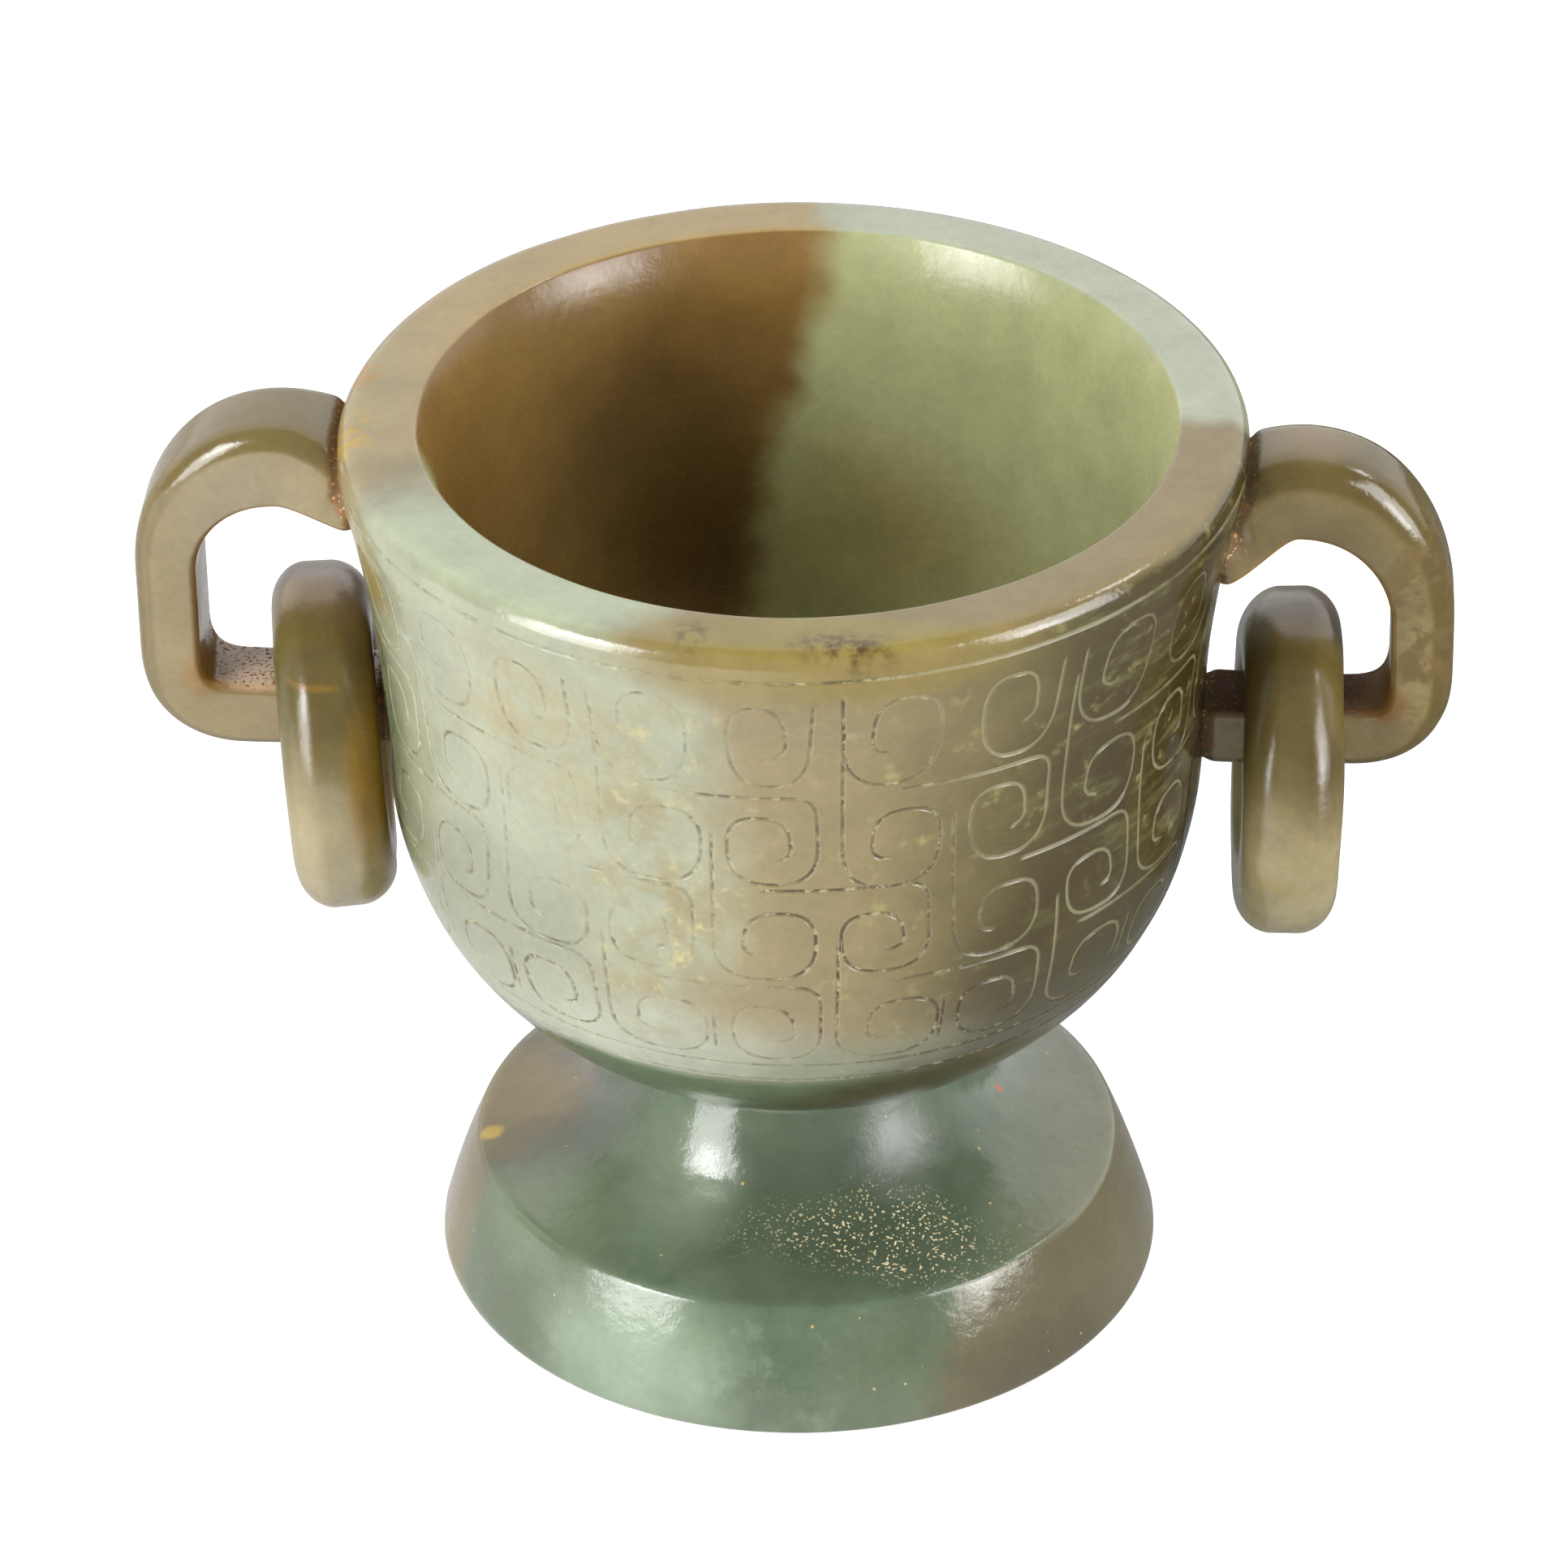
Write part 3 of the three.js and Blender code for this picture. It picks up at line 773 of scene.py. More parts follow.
def make_handle(name, side, root, shape, softer, seed):
    """The section carried along the line, pinched at the wall, and closed inside the wall. Its
    masks say how near the wall is, and rise from 0 to 1 towards the inner and the outer face."""
    line, section = strap_line(root, **shape)
    section[:, 2] = np.minimum(section[:, 2] * softer, section[:, 1] / 2 - 0.1)
    along = np.gradient(line, axis=0)
    along /= np.linalg.norm(along, axis=1)[:, None]
    across, out = strap_section(section)
    x = line[:, :1] - along[:, 1:] * out
    z = line[:, 1:] + along[:, :1] * out
    clear = np.hypot(x, across) - wall_radius(z)
    pinch = PINCH * np.exp(-((clear / PINCH_REACH) ** 2))
    x = x + (line[:, :1] - x) * pinch
    z = z + (line[:, 1:] - z) * pinch
    across = across * (1 - pinch)
    count = across.shape[1]
    points = np.stack([x, across, z], -1).reshape(-1, 3)
    points = points + HAND_SWAY * three_way(points, seed, HAND_LENGTH)
    ends = [points[:count].mean(0), points[-count:].mean(0)]
    points = np.concatenate([points, ends]) * [side, side, 1]
    total = len(points) - 2
    faces = np.concatenate([
        grid_faces(len(line), count),
        fan_faces(np.arange(count), total)[:, ::-1],
        fan_faces(total - count + np.arange(count), total + 1),
    ])
    half, rounding = section[:, 1:2] / 2, section[:, 2:3]
    low_down = np.clip(1 - (z - BAR_HEIGHT - BAR[1] / 2) / BAR_DIRT_REACH, 0, 1)
    inner_face = np.clip(-out / half * INNER_RISE - INNER_FROM, 0, 1)
    masks = {
        "root_dirt": np.exp(-np.clip(clear, 0, None) / DIRT_REACH),
        "bar_dirt": inner_face * low_down,
        "inner_face": inner_face,
        "outer_face": np.clip(OUTER_RISE * (out - half) / rounding + OUTER_FROM, 0, 1),
    }
    masks = {mask: np.append(values.ravel(), [0, 0]) for mask, values in masks.items()}
    return make_piece(name, points, faces, masks)


left_handle = make_handle("jade_left_handle", -1, LEFT_ROOT, LEFT_LINE, softer=1.15, seed=61)
right_handle = make_handle("jade_right_handle", 1, RIGHT_ROOT, RIGHT_LINE, softer=1.6, seed=71)
for piece, node in ((left_handle, "left_handle"), (right_handle, "right_handle")):
    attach(piece, "cup")
    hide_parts(node)

# %% [markdown]
# ## The rings
# Each ring is a thick band with a barrel section, made loose in its loop. The frame gives its
# middle and the axis that it swings on, which is also the axis it was turned about.

# %% Rings
RING_RADIUS, RING_HOLE, RING_THICKNESS = 12.3, 7.2, 7.0
RING_OUTER_ROUNDING, RING_INNER_ROUNDING = 2.5, 1.3
BARREL = 0.45
RING_STEPS = 220
RING_SWAY, RING_LENGTH = 0.1, 8


def make_ring(name, node, joint, seed):
    """A barrel section turned about the joint's axis, round the middle of the frame's own ring. The
    hole stays true, and the barrel and the waves shape the outside."""
    low, high = (np.array(corner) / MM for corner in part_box(node))
    middle = (low + high) / 2
    axis = np.array(next(j["axis"] for j in frame["joints"] if j["name"] == joint), float)
    axis /= np.linalg.norm(axis)
    up = np.array([0, 0, 1.0]) - axis[2] * axis
    up /= np.linalg.norm(up)
    half, outer, inner = RING_THICKNESS / 2, RING_OUTER_ROUNDING, RING_INNER_ROUNDING
    section = np.concatenate([
        turn_round((half - outer, RING_RADIUS - outer), outer, 0, 90, 14),
        turn_round((outer - half, RING_RADIUS - outer), outer, 90, 180, 14),
        turn_round((inner - half, RING_HOLE + inner), inner, 180, 270, 9),
        turn_round((half - inner, RING_HOLE + inner), inner, 270, 360, 9),
    ])
    along, radius = section.T
    turn = np.linspace(0, 2 * np.pi, RING_STEPS, endpoint=False)[:, None]
    outside = np.clip((radius - RING_HOLE) / (RING_RADIUS - RING_HOLE), 0, 1)
    radius = radius - BARREL * (along / half) ** 2 * (outside > 0.5)
    local = np.stack(np.broadcast_arrays(along, radius * np.cos(turn), radius * np.sin(turn)), -1)
    points = local.reshape(-1, 3) @ np.stack([axis, up, np.cross(axis, up)]) + middle
    hand = RING_SWAY * np.tile(outside, RING_STEPS)[:, None]
    points = points + hand * three_way(points, seed, RING_LENGTH)
    faces = grid_faces(RING_STEPS + 1, len(section)) % len(points)
    return make_piece(name, points, faces)


left_ring = make_ring("jade_left_ring", "left_ring", "left_ring_swing", seed=81)
right_ring = make_ring("jade_right_ring", "right_ring", "right_ring_swing", seed=91)
for piece, body in ((left_ring, "left_ring"), (right_ring, "right_ring")):
    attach(piece, body)
    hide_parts(body)

# %% [markdown]
# ## The stone
# Nephrite is a felt of fine fibres. Iron and old burial tint it in clouds that run right through
# the block, so colour depends on the place in the stone and not on the surface. Node trees work
# the colours out, and this class adds the few kinds of node that every tree here is made of.

# %% Node helpers
def stone_colour(code):
    """Red, green and blue of a colour written as six hexadecimal digits, as linear light."""
    parts = np.array([int(code[i:i + 2], 16) for i in (0, 2, 4)]) / 255
    linear = np.where(parts <= 0.04045, parts / 12.92, ((parts + 0.055) / 1.055) ** 2.4)
    return (*linear.tolist(), 1.0)


class Nodes:
    """Adds nodes to a tree. A step takes sockets, numbers or colours as six digits, and returns a
    socket. Place is where in the stone the tree is read, in millimetres."""

    def __init__(self, tree, place=None):
        self.tree, self.place = tree, place

    def feed(self, socket, value):
        """Links a socket to another one, or sets its own value."""
        if isinstance(value, bpy.types.NodeSocket):
            self.tree.links.new(value, socket)
        else:
            socket.default_value = stone_colour(value) if isinstance(value, str) else value

    def add(self, kind, values=(), **settings):
        """A node with its settings, whose inputs are fed by name or number."""
        node = self.tree.nodes.new("ShaderNode" + kind)
        for name, value in settings.items():
            setattr(node, name, value)
        for name, value in dict(values).items():
            self.feed(node.inputs[name], value)
        return node

    def maths(self, operation, *values):
        return self.add("Math", enumerate(values), operation=operation).outputs[0]

    def vector(self, operation, a, b=(0, 0, 0)):
        values = {0: a, "Scale" if operation == "SCALE" else 1: b}
        node = self.add("VectorMath", values, operation=operation)
        return node.outputs["Value" if operation in ("LENGTH", "DOT_PRODUCT") else "Vector"]

    def blend(self, factor, a, b):
        return self.add("Mix", {"Factor": factor, 6: a, 7: b}, data_type="RGBA").outputs[2]

    def noise(self, scale, detail, roughness, place=None):
        place = self.place if place is None else place
        values = {"Vector": place, "Scale": scale, "Detail": detail, "Roughness": roughness}
        return self.add("TexNoise", values).outputs[0]

    def ramp(self, value, low_end, high_end):
        """0 at the low end, 1 at the high end and an eased step between."""
        values = {"Value": value, "From Min": low_end, "From Max": high_end}
        return self.add("MapRange", values, interpolation_type="SMOOTHSTEP").outputs[0]

    def both(self, first, *others):
        """The product of masks, which holds where all of them hold."""
        for other in others:
            first = self.maths("MULTIPLY", first, other)
        return first

    def group(self, tree, **values):
        """The outputs of a node group that is read at the same place as this tree."""
        return self.add("Group", {"Place": self.place, **values}, node_tree=tree).outputs


# %% [markdown]
# ## Clouds, fronts, dots and fibre
# Four node groups hold what the stones have in common. A cloud is a soft, ragged region round a
# centre, and a front is all that lies past a ragged plane. Both are written in the cup's own
# millimetres, so they stay where they are in the block, whatever surface is cut through them.

# %% Node groups
SOCKET_KINDS = {1: "NodeSocketFloat", 3: "NodeSocketVector", 4: "NodeSocketColor"}
ORIGIN = (0, 0, 0)
BROAD_SHARE, FINE_SHARE = 1.3, 0.7


def start_group(name, inputs, **outputs):
    """An empty node group with named sockets, whose kind follows from how many numbers they hold.
    Returns its nodes, the sockets that come in and those that go out."""
    tree = bpy.data.node_groups.new(name, "ShaderNodeTree")
    for label, value in {"Place": ORIGIN, **inputs}.items():
        kind = SOCKET_KINDS[np.size(value)]
        tree.interface.new_socket(label, in_out="INPUT", socket_type=kind).default_value = value
    for label, size in outputs.items():
        tree.interface.new_socket(label, in_out="OUTPUT", socket_type=SOCKET_KINDS[size])
    given = tree.nodes.new("NodeGroupInput").outputs
    return Nodes(tree, given["Place"]), given, tree.nodes.new("NodeGroupOutput").inputs


def ragged(nodes, given, distance, roughness):
    """A distance pushed to and fro by noise of the group's own grain."""
    torn = nodes.maths("SUBTRACT", nodes.noise(given["Grain"], 4.0, roughness), 0.5)
    return nodes.maths("ADD", distance, nodes.maths("MULTIPLY", torn, given["Raggedness"]))


def build_cloud():
    """Distance from a centre in units of the cloud's own reach, made ragged by noise."""
    nodes, given, result = start_group("stone_cloud", {
        "Centre": ORIGIN, "Reach": (10, 10, 10), "Softness": 0.2, "Raggedness": 0.3, "Grain": 0.12,
    }, Mask=1)
    offset = nodes.vector("SUBTRACT", given["Place"], given["Centre"])
    distance = nodes.vector("LENGTH", nodes.vector("DIVIDE", offset, given["Reach"]))
    inner = nodes.maths("SUBTRACT", 1.0, given["Softness"])
    outer = nodes.maths("ADD", 1.0, given["Softness"])
    outside = nodes.ramp(ragged(nodes, given, distance, 0.55), inner, outer)
    nodes.feed(result["Mask"], nodes.maths("SUBTRACT", 1.0, outside))
    return nodes.tree


def build_front():
    """One side of a plane through a point. Softness and raggedness are in millimetres."""
    nodes, given, result = start_group("stone_front", {
        "Point": ORIGIN, "Towards": (1, 0, 0), "Softness": 1.0, "Raggedness": 3.0, "Grain": 0.12,
    }, Mask=1)
    offset = nodes.vector("SUBTRACT", given["Place"], given["Point"])
    distance = nodes.vector("DOT_PRODUCT", offset, given["Towards"])
    lower = nodes.maths("MULTIPLY", given["Softness"], -1.0)
    edge = ragged(nodes, given, distance, 0.6)
    nodes.feed(result["Mask"], nodes.ramp(edge, lower, given["Softness"]))
    return nodes.tree


def build_speckle():
    """Small dots round the cell centres of a fine lattice, of which only a share is kept."""
    nodes, given, result = start_group(
        "stone_speckle", {"Spacing": 1.0, "Size": 0.2, "Share": 0.3}, Mask=1)
    scale = nodes.maths("DIVIDE", 1.0, given["Spacing"])
    cells = nodes.add("TexVoronoi", {"Vector": nodes.place, "Scale": scale}).outputs
    draw = nodes.add("SeparateColor", {0: cells["Color"]}).outputs
    kept = nodes.maths("LESS_THAN", draw[0], given["Share"])
    reach = nodes.maths("MULTIPLY", given["Size"], nodes.maths("ADD", draw[1], 0.5))
    past = nodes.ramp(cells["Distance"], nodes.maths("MULTIPLY", reach, 0.6), reach)
    nodes.feed(result["Mask"], nodes.both(nodes.maths("SUBTRACT", 1.0, past), kept))
    return nodes.tree


def build_fibre():
    """Felted fibre: broad and fine noise that lightens and darkens a colour a little."""
    nodes, given, result = start_group(
        "stone_fibre", {"Colour": (1, 1, 1, 1), "Contrast": 0.2}, Colour=4, Height=1)
    broad, fine = nodes.noise(0.22, 5.0, 0.6), nodes.noise(1.6, 4.0, 0.65)
    felt = nodes.maths("MULTIPLY_ADD", broad, BROAD_SHARE, nodes.maths("MULTIPLY", fine, FINE_SHARE))
    swing = nodes.maths("MULTIPLY", nodes.maths("SUBTRACT", felt, 1.0), given["Contrast"])
    gain = nodes.maths("MULTIPLY_ADD", swing, 2.0, 1.0)
    nodes.feed(result["Colour"], nodes.vector("SCALE", given["Colour"], gain))
    nodes.feed(result["Height"], fine)
    return nodes.tree


CLOUD, FRONT, SPECKLE, FIBRE = build_cloud(), build_front(), build_speckle(), build_fibre()
print("node groups:", [group.name for group in (CLOUD, FRONT, SPECKLE, FIBRE)])

# %% [markdown]
# ## Polished stone
# One recipe serves every piece. It starts from a ground colour, lays each tint over it through its
# mask, adds the fibre, and sets the shader for polished stone: a high index, a little light
# scattered under the surface, and a polish that is duller where dirt sits.

# %% Recipe
STONE_INDEX = 1.61
SCATTER_WEIGHT, SCATTER_REACH, SCATTER_TINT = 0.25, 0.0012, (1.0, 1.0, 0.7)
BEST_POLISH, UNEVEN_POLISH, DULLNESS = 0.07, 0.18, 0.7
RIPPLE_HEIGHT, FIBRE_HEIGHT = 0.06, 0.12


class Stone(Nodes):
    """A new material of polished stone. Its steps return masks, unless they say otherwise."""

    def __init__(self, name):
        self.material = bpy.data.materials.new(name)
        self.material.use_nodes = True
        super().__init__(self.material.node_tree)
        self.shader = self.tree.nodes["Principled BSDF"].inputs
        self.place = self.vector("SCALE", self.add("TexCoord").outputs["Object"], 1 / MM)
        for label, value in (("IOR", STONE_INDEX), ("Subsurface Weight", SCATTER_WEIGHT),
                             ("Subsurface Radius", SCATTER_TINT), ("Subsurface Scale", SCATTER_REACH)):
            self.shader[label].default_value = value

    def cloud(self, centre, reach, softness, raggedness, grain=0.12):
        """Within a reach of a centre."""
        return self.group(CLOUD, Centre=centre, Reach=reach, Softness=softness,
                          Raggedness=raggedness, Grain=grain)["Mask"]

    def front(self, point, towards, softness, raggedness):
        """Past a point in the direction given."""
        return self.group(FRONT, Point=point, Towards=towards, Softness=softness,
                          Raggedness=raggedness)["Mask"]

    def dust(self, spacing, size, share):
        """In small dots."""
        return self.group(SPECKLE, Spacing=spacing, Size=size, Share=share)["Mask"]

    def patches(self, scale, detail, roughness, low_end, high_end):
        """In ragged patches, where noise passes from the low end to the high one."""
        return self.ramp(self.noise(scale, detail, roughness), low_end, high_end)

    def patchy(self, mask, scale, low_end, high_end):
        """Where a mask holds, and there in patches only."""
        return self.both(mask, self.patches(scale, 5.0, 0.62, low_end, high_end))

    def surface(self, name):
        """A mask that the mesh itself carries."""
        return self.add("Attribute", attribute_name=name).outputs["Fac"]

    def tint(self, colour, layers):
        """Returns a ground colour with others laid over it through their masks, in order."""
        for mask, code in layers:
            colour = self.blend(mask, colour, code)
        return colour

    def finish(self, colour, contrast, dull):
        """Gives fibre, polish and a fine ripple to the shader, and returns the material."""
        fibre = self.group(FIBRE, Colour=colour, Contrast=contrast)
        ripple = self.noise(0.5, 4.0, 0.6)
        polish = self.maths("MULTIPLY_ADD", ripple, UNEVEN_POLISH, BEST_POLISH)
        height = self.maths("MULTIPLY_ADD", fibre["Height"], FIBRE_HEIGHT, ripple)
        bump = self.add("Bump", {"Strength": 1.0, "Distance": RIPPLE_HEIGHT * MM, "Height": height})
        self.feed(self.shader["Base Color"], fibre["Colour"])
        self.feed(self.shader["Roughness"], self.maths("MULTIPLY_ADD", dull, DULLNESS, polish))
        self.feed(self.shader["Normal"], bump.outputs["Normal"])
        return self.material


# %% [markdown]
# ## The bowl's stone
# In front the stone is grey-green on the left and brown on the right, with a worn sandy border
# between. At the back it is brown on the left and pale green on the right, and their sharp ragged
# border shows in the hollow and on the rim, because colour runs right through the wall. Pale
# residue has stayed in the incised lines, and their dark brown is painted shade. A dark reflection
# of the left ring is painted on the far left of the wall. Fronts make the borders and clouds the rest.

# %% Bowl's stone
def bowl_stone():
    """Tints of the outside, of the rim and of the hollow, and the residue and painted shade in the grooves.
    """
    stone = Stone("celadon_jade")
    cloud, front, both, patchy = stone.cloud, stone.front, stone.both, stone.patchy
    hollow, groove = stone.surface("hollow"), stone.surface("groove")
    stretched = stone.vector("MULTIPLY", stone.place, (0.35, 0.35, 1.4))
    streaks = stone.ramp(stone.noise(0.45, 5.0, 0.7, stretched), 0.48, 0.72)
    right = front((12, 0, 48), (0.98, 0, -0.12), 10, 8)
    green_side = both(front((-0.6, 0, 60), (1, 0, -0.25), 1.9, 5.0),
                      front((0, 0.5, 60), (0, 1, 0), 1.2, 4.0))
    brown_side = both(front((-0.6, 0, 60), (-1, 0, 0.25), 1.9, -5.0),
                      front((0, -6, 60), (0, 1, 0), 2.5, 4.0))
    border = cloud((-7, -29, 48), (6, 8, 13), 0.5, 1.5)
    outside = stone.tint("8a7c59", [
        (right, "5c5436"),
        (front((17.5, 0, 46), (0.96, 0, -0.28), 8, 6), "3b3117"),
        (both(streaks, right), "66633c"),
        (patchy(front((-2, 0, 50), (1, 0, 0), 6, 3), 0.55, 0.56, 0.8), "9d9563"),
        (cloud((-22, -25, 50), (20, 18, 32), 0.14, 0.55), "9a9d84"),
        (cloud((-22, -20, 41), (10, 12, 6), 0.7, 0.8), "85876f"),
        # Painted dark reflection of the left ring on the far left of the wall.
        (cloud((-31, -7, 46), (6, 7, 14), 0.5, 0.8), "6c7354"),
        (cloud((-6, -25, 33), (8, 6, 4), 0.7, 0.8), "a2a590"),
        (patchy(cloud((-17, -26, 59), (7, 7, 6), 0.6, 1.6), 0.3, 0.3, 0.7), "98906a"),
        (cloud((-28, -11, 63), (5, 4, 3.5), 0.6, 1.2), "8f7f48"),
        (patchy(border, 0.25, 0.36, 0.68), "90855f"),
        (patchy(border, 0.7, 0.56, 0.74), "b5aa78"),
        (cloud((5, -31, 67.2), (15, 7, 2.8), 0.4, 0.7), "857647"),
        (cloud((22, -20, 38), (9, 9, 7), 0.8, 1.4), "473f24"),
        (cloud((6, -24, 31), (9, 8, 3), 0.8, 1.0), "7b8066"),
        (front((0, 0, 30), (0, 0, -1), 0.7, 0.8), "5c6a50"),
        (front((9, 0, 31.5), (0.5, 0, -1), 3, 3), "3f391f"),
        (brown_side, "a08a5c"),
        (green_side, "a5ab90"),
    ])
    top = front((0, 0, 67.9), (0, 0, 1), 0.5, 0.2)
    rim = stone.tint(outside, [
        (both(top, front((6, 0, 68), (1, -0.6, 0), 5, 5)), "86754c"),
        (both(top, cloud((-19, -22, 68), (13, 9, 4), 0.25, 0.6)), "a7b092"),
        (both(top, cloud((4, -29, 68.4), (12, 3, 2), 0.3, 0.5)), "8b7c3e"),
        (patchy(cloud((4.8, -29.6, 68), (3.2, 1.5, 1.6), 0.6, 1.4), 0.9, 0.4, 0.66), "503a1c"),
        (patchy(cloud((-5, -28.8, 68.2), (1.0, 1.6, 1.4), 0.6, 1.4), 0.9, 0.35, 0.6), "5e4a1c"),
        (both(top, cloud((-31, 1, 68), (5, 11, 4), 0.4, 0.8)), "9c8b62"),
        (patchy(cloud((-30.6, 4.5, 68), (1.3, 1.6, 2), 0.5, 1.5), 1.0, 0.4, 0.56), "ad8237"),
        (patchy(cloud((-30, -3.4, 68), (1.6, 2.6, 2), 0.5, 1.5), 1.0, 0.44, 0.6), "b3953f"),
        (both(top, green_side), "a9ae98"),
    ])
    inside = stone.tint("a4a779", [
        (cloud((3, 18, 44), (9, 12, 8), 0.8, 0.8), "948a58"),
        (brown_side, "7d5f30"),
        (both(brown_side, cloud((-12, 24, 54), (9, 9, 9), 0.6, 1.2)), "5e4520"),
        (both(brown_side, cloud((-6, 22, 45), (8, 10, 6), 0.6, 1.0)), "553a14"),
    ])
    # In the grooves the dark brown is painted shade and the pale cream is residue.
    residue_and_shade = stone.blend(stone.patches(1.5, 2.0, 0.7, 0.50, 0.62), "3a2f16", "b8b187")
    residue_and_shade = stone.blend(front((13, 0, 50), (1, 0, 0.3), 5, 6), residue_and_shade, "a09b70")
    filled = both(stone.maths("POWER", groove, 1.8), stone.maths("MULTIPLY_ADD", right, -0.2, 0.75))
    colour = stone.blend(filled, stone.blend(hollow, rim, inside), residue_and_shade)
    dull = stone.maths("MULTIPLY_ADD", hollow, 0.16, stone.maths("MULTIPLY", groove, 0.6))
    return stone.finish(colour, 0.2, dull)


bowl.data.materials.append(bowl_stone())
print("bowl's stone:", len(bowl.data.materials[0].node_tree.nodes), "nodes")

# %% [markdown]
# ## The foot's stone
# The foot is the greenest part. It is mottled, with shade painted darker where the bowl hangs over
# it and a highlight painted on the left of the skirt, and it is brown at the left and right ends of
# the skirt. A crust of gold and cream crumbs lies on the ledge in front, because dirt settles in
# that corner and no cloth reaches it.

# %% Foot's stone
def foot_stone():
    """Mottled green with clouds, painted shade under the bowl, a painted highlight on the skirt, brown
    ends of the skirt and a crust of crumbs on the ledge.
    """
    stone = Stone("green_jade")
    cloud, front, both, patches = stone.cloud, stone.front, stone.both, stone.patches
    skirt = front((0, 0, 8.7), (0, 0, -1), 0.3, 0.3)
    gold = cloud((8, -16, 10.6), (9, 3.6, 3), 0.5, 1.6)
    crumbs, clumps = patches(4.6, 0.0, 0.5, 0.66, 0.71), patches(0.7, 2.0, 0.6, 0.36, 0.52)
    colour = stone.tint("66745e", [
        (patches(0.14, 4.0, 0.6, 0.42, 0.62), "5b6954"),
        (both(skirt, patches(0.3, 5.0, 0.65, 0.5, 0.75)), "7c8a74"),
        (both(skirt, cloud((9, -24, 4), (7, 6, 6), 0.7, 1.2)), "5b6750"),
        (both(skirt, cloud((-21, -14, 4), (6, 7, 6), 0.7, 1.2)), "5a664f"),
        # Painted highlight on the front left of the skirt.
        (both(skirt, cloud((-11, -23, 4), (6, 6, 6), 0.7, 1.2)), "8c9b84"),
        # Painted shade on the foot's top, under the bowl.
        (cloud((4, -15, 12), (11, 9, 5), 0.7, 1.0), "465240"),
        (cloud((-18, -13, 9.5), (6, 6, 3), 0.7, 1.0), "6b785f"),
        (cloud((-15, -3, 12), (5, 5, 4), 0.7, 1.0), "505848"),
        (cloud((-8, -12, 12), (4, 5, 4), 0.7, 1.0), "73806a"),
        (front((17, 0, 10), (1, 0, 0), 4, 5), "75765f"),
        (cloud((-21, 2, 9), (8.5, 9, 5), 0.35, 1.2), "544c3a"),
        (cloud((-22, 3, 9), (6, 8, 5), 0.6, 2.4), "7c6e42"),
        (both(skirt, front((-23, -8, 4), (-1, 0.3, 0), 1.5, 4)), "75694a"),
        (both(skirt, front((11.5, -20, 4), (1, 0.2, -0.25), 2.0, 6)), "666047"),
        (both(skirt, cloud((19, -17, 1), (8, 8, 3), 0.8, 1.2)), "554f3a"),
        (stone.dust(1.1, 0.1, 0.16), "b59a62"),
        (both(crumbs, clumps, gold), "d8c9a0"),
        (both(stone.dust(0.37, 0.26, 0.4), gold), "cbb98a"),
        (cloud((14.6, 0.4, 12.2), (0.4, 0.4, 0.4), 0.2, 0.3), "b5532a"),
        (cloud((-22.2, -2.7, 9.1), (0.9, 0.8, 0.6), 0.4, 1.0), "b79a3c"),
    ])
    dull = stone.maths("MULTIPLY", cloud((6, -8, 15), (6, 7, 5), 0.5, 1.0), 0.25)
    return stone.finish(colour, 0.2, dull)


foot.data.materials.append(foot_stone())
print("foot's stone:", len(foot.data.materials[0].node_tree.nodes), "nodes")

# %% [markdown]
# ## The handles' stone
# The straps are olive-beige, with shade painted darker along their outer faces. Dry earth has
# stayed where a strap meets the wall and along the top of each bar, out of a cloth's reach: pale
# with brown crumbs on the left bar, dark on the right one. The mesh says where it lies, and noise
# breaks it up.

# %% Handles' stone
def handle_stone():
    """Olive ground, face and corner tints, painted shade on the outer faces, and earth at the roots and
    on the bars.
    """
    stone = Stone("olive_jade")
    cloud, both, patches = stone.cloud, stone.both, stone.patches
    root, bar = stone.surface("root_dirt"), stone.surface("bar_dirt")
    inner, outer = stone.surface("inner_face"), stone.surface("outer_face")
    crumbs = patches(3.4, 2.0, 0.7, 0.54, 0.62)
    grains = stone.noise(1.3, 4.0, 0.7)
    grit = stone.ramp(stone.maths("MULTIPLY_ADD", grains, 0.9, root), 0.78, 1.12)
    right = stone.front((0, 0, 0), (1, 0, 0), 1.0, 0.0)
    left = stone.maths("SUBTRACT", 1.0, right)
    colour = stone.tint("8c7b52", [
        (both(patches(0.28, 5.0, 0.6, 0.4, 0.66), right), "7c6c44"),
        (cloud((-38, -3, 62), (5, 5, 6), 0.6, 1.0), "8c7e60"),
        (cloud((36, -2, 60), (6, 7, 5), 0.8, 1.0), "716444"),
        # Shade painted darker on the outer faces of the straps.
        (both(outer, left), "71623a"),
        (both(outer, right), "5e5029"),
        (cloud((36, 2, 69), (7, 5, 2), 0.5, 1.0), "877455"),
        (stone.patchy(cloud((44, -2, 54), (2.6, 6, 9), 0.8, 1.4), 0.45, 0.46, 0.6), "6d5b36"),
        (inner, "8d6a3a"),
        (both(bar, left), "c2a683"),
        (both(crumbs, bar, left), "82512f"),
        (both(bar, right), "5f4228"),
        (both(crumbs, bar, right), "8a5f3a"),
        (both(grit, right), "6e583a"),
        (both(grit, left), "765a38"),
        (both(grit, patches(2.6, 3.0, 0.7, 0.52, 0.6)), "966530"),
        (both(grit, patches(3.1, 1.0, 0.6, 0.62, 0.68)), "c8ab7c"),
        (cloud((41.2, -2, 47.9), (1.6, 5, 1.6), 0.35, 1.0, grain=0.5), "7b5722"),
        (cloud((-41.3, -1, 48), (1.6, 3, 1.6), 0.5, 1.0), "8f6a2a"),
    ])
    dull = stone.maths("MAXIMUM", grit, both(bar, stone.maths("MAXIMUM", crumbs, right)))
    return stone.finish(colour, 0.24, dull)


olive = handle_stone()
for piece in (left_handle, right_handle):
    piece.data.materials.append(olive)
print("handles' stone:", len(left_handle.data.materials[0].node_tree.nodes), "nodes")
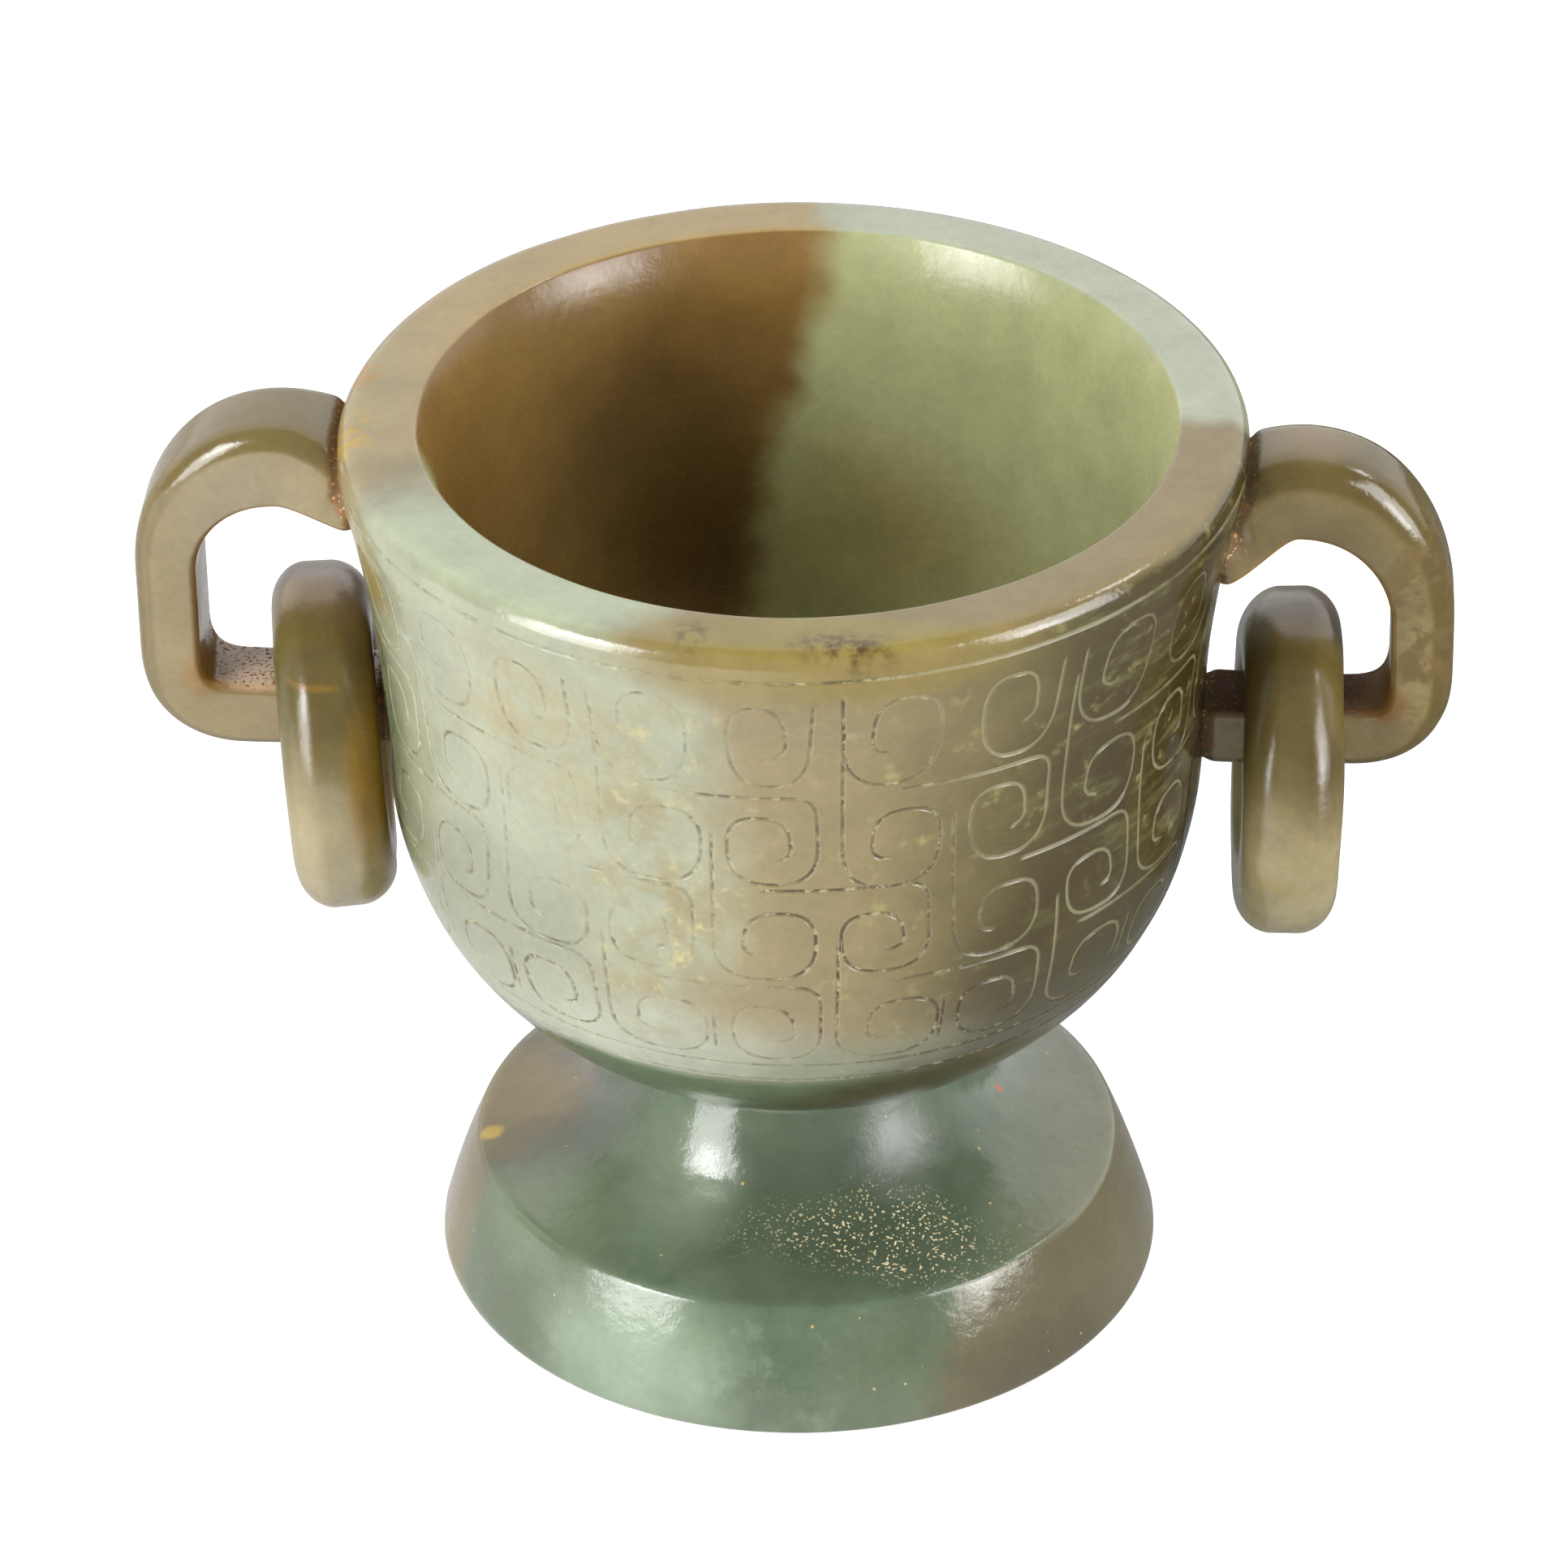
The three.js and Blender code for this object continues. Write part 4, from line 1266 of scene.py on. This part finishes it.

# %% [markdown]
# ## The rings' stone
# The rings are dark olive above and pale beige below, as the block happened to be tinted there. A
# thin rusty vein crosses the left one, and on its shaded side towards the bowl an amber glow of
# light shining through the stone is painted.

# %% Rings' stone
def ring_stone():
    """A dark upper half over a pale ground, with a vein, a few clouds and a painted amber glow on the
    left ring's side towards the bowl.
    """
    stone = Stone("brown_jade")
    cloud, front, both = stone.cloud, stone.front, stone.both
    upper = front((0, 0, 43), (0, 0.15, 1), 4.5, 7.0)
    colour = stone.tint("998c66", [
        (upper, "67592f"),
        (both(upper, cloud((-38.5, -9, 49), (3, 6, 6), 0.7, 1.2)), "5b5b38"),
        (both(upper, cloud((38, -12, 47), (2, 4, 9), 0.7, 1.2)), "4c3c1a"),
        (front((0, 0, 52.5), (0, 0.3, 1), 1.5, 2.0), "7d6a48"),
        (cloud((-33.2, -8.2, 50.5), (2.2, 1.6, 0.2), 0.8, 1.8, grain=0.3), "8a6a2c"),
        # Painted amber glow of light through the stone, on the left ring's shaded side towards the bowl.
        (cloud((-29, -8, 44), (1.6, 6, 6), 0.5, 1.0), "94701e"),
        (cloud((33.4, -12, 37.5), (2.2, 3, 1.2), 0.6, 1.2), "a08c4c"),
        (cloud((34, -8, 34), (6, 6, 5), 0.5, 1.0), "978d6a"),
    ])
    return stone.finish(colour, 0.26, 0.12)


brown = ring_stone()
for piece in (left_ring, right_ring):
    piece.data.materials.append(brown)
print("rings' stone:", len(left_ring.data.materials[0].node_tree.nodes), "nodes")

# %% [markdown]
# ## The floor
# The cup stands on a white sweep. The camera sees it as white, while the stone mirrors it brighter
# on the left, where the real studio's light fell, and darker on the right. So the floor's glow
# depends on what looks at it: a ray from the camera, or a ray that the polish has mirrored.

# %% Floor
FLOOR_HALF = 3.0
FLOOR_WHITE, MIRRORED_WHITE = 0.8, 0.15
SEEN_GLOW, GLOW_LEFT, GLOW_RIGHT = 0.6, 1.5, 0.1
GLOW_BEHIND = 0.4


def make_floor():
    """A white square whose mirrored glow falls off to the right and behind the cup."""
    corners = np.array([[-1, -1, 0], [1, -1, 0], [1, 1, 0], [-1, 1, 0]]) * FLOOR_HALF
    mesh = bpy.data.meshes.new("floor")
    mesh.from_pydata(corners.tolist(), [], [(0, 1, 2, 3)])
    material = bpy.data.materials.new("white_sweep")
    material.use_nodes = True
    nodes = Nodes(material.node_tree)
    path = nodes.add("LightPath").outputs
    place = nodes.add("SeparateXYZ", {0: nodes.add("TexCoord").outputs["Object"]}).outputs
    across = nodes.maths(
        "MULTIPLY_ADD", nodes.ramp(place["X"], -0.06, 0.07), GLOW_RIGHT - GLOW_LEFT, GLOW_LEFT)
    before = nodes.maths("SUBTRACT", 1.0, nodes.ramp(place["Y"], -0.03, 0.02))
    fall = nodes.maths("MULTIPLY_ADD", before, 1 - GLOW_BEHIND, GLOW_BEHIND)
    seen = nodes.maths("MULTIPLY", path["Is Camera Ray"], SEEN_GLOW)
    glow = nodes.maths("MULTIPLY_ADD", path["Is Glossy Ray"], nodes.maths("MULTIPLY", across, fall), seen)
    white = nodes.maths("MULTIPLY_ADD", path["Is Glossy Ray"], MIRRORED_WHITE - FLOOR_WHITE, FLOOR_WHITE)
    for label, value in (("Base Color", white), ("Roughness", 0.9), ("Specular IOR Level", 0.0),
                         ("Emission Color", "ffffff"), ("Emission Strength", glow)):
        nodes.feed(nodes.tree.nodes["Principled BSDF"].inputs[label], value)
    mesh.materials.append(material)
    return add_object("floor", mesh)


floor = make_floor()
print(f"floor {2 * FLOOR_HALF:.0f} m across")

# %% [markdown]
# ## The lamps
# Tall soft boxes stand to the left and the right, a little above the cup. Each has a brighter
# core, which draws the crisp middle of a highlight on polished stone. A small window on the right,
# a little behind the cup, puts a spark on the right handle.

# %% Lamps
LAMP_DISTANCE = 0.75
LAMP_TARGET = np.array([0, 0, 0.045])


def soft_box(name, azimuth, elevation, width, height, watts):
    """A rectangular lamp that faces the cup from a direction given in degrees."""
    axes = facing(*np.radians([azimuth, elevation]))
    data = bpy.data.lights.new(name, "AREA")
    data.shape, data.size, data.size_y, data.energy = "RECTANGLE", width, height, watts
    add_object(name, data, axes, LAMP_TARGET + LAMP_DISTANCE * axes[2])


soft_box("left_box", -52, 22, 0.36, 0.60, 5.2)
soft_box("left_core", -53, 33, 0.14, 0.28, 1.1)
soft_box("right_box", 68, 20, 0.42, 0.56, 4.4)
soft_box("right_core", 64, 12, 0.14, 0.24, 0.7)
soft_box("window", 106, 46, 0.10, 0.16, 0.5)

# %% [markdown]
# ## The room
# The sweep behind the cup is lit until it burns out, so it is brighter than white. It lays a pale
# haze on every surface that mirrors it, on the rim and on the tops of the rings and handles. Only
# mirrored rays see that brightness, so it adds no light to the cup.

# %% World
ROOM_LIGHT, FRONT_ROOM, SWEEP_BEHIND = 0.45, 0.2, 1.3


def light_world():
    """Even light for the cup, white for the camera, and a burnt-out sweep behind for reflections."""
    world = bpy.data.worlds.new("studio")
    bpy.context.scene.world = world
    world.use_nodes = True
    nodes = Nodes(world.node_tree)
    way = nodes.add("SeparateXYZ", {0: nodes.add("TexCoord").outputs["Generated"]}).outputs
    path = nodes.add("LightPath").outputs
    behind = nodes.ramp(way["Y"], 0.05, 0.45)
    mirrored = nodes.maths("MULTIPLY_ADD", behind, SWEEP_BEHIND - FRONT_ROOM, FRONT_ROOM)
    extra = nodes.maths("SUBTRACT", mirrored, ROOM_LIGHT)
    lit = nodes.maths("MULTIPLY_ADD", path["Is Glossy Ray"], extra, ROOM_LIGHT)
    seen = nodes.maths("MULTIPLY_ADD", path["Is Camera Ray"], 1.0 - ROOM_LIGHT, lit)
    background = nodes.tree.nodes["Background"].inputs
    nodes.feed(background["Color"], "ffffff")
    nodes.feed(background["Strength"], seen)


light_world()
bpy.context.scene.view_settings.view_transform = "Standard"
print("world:", bpy.context.scene.world.name)
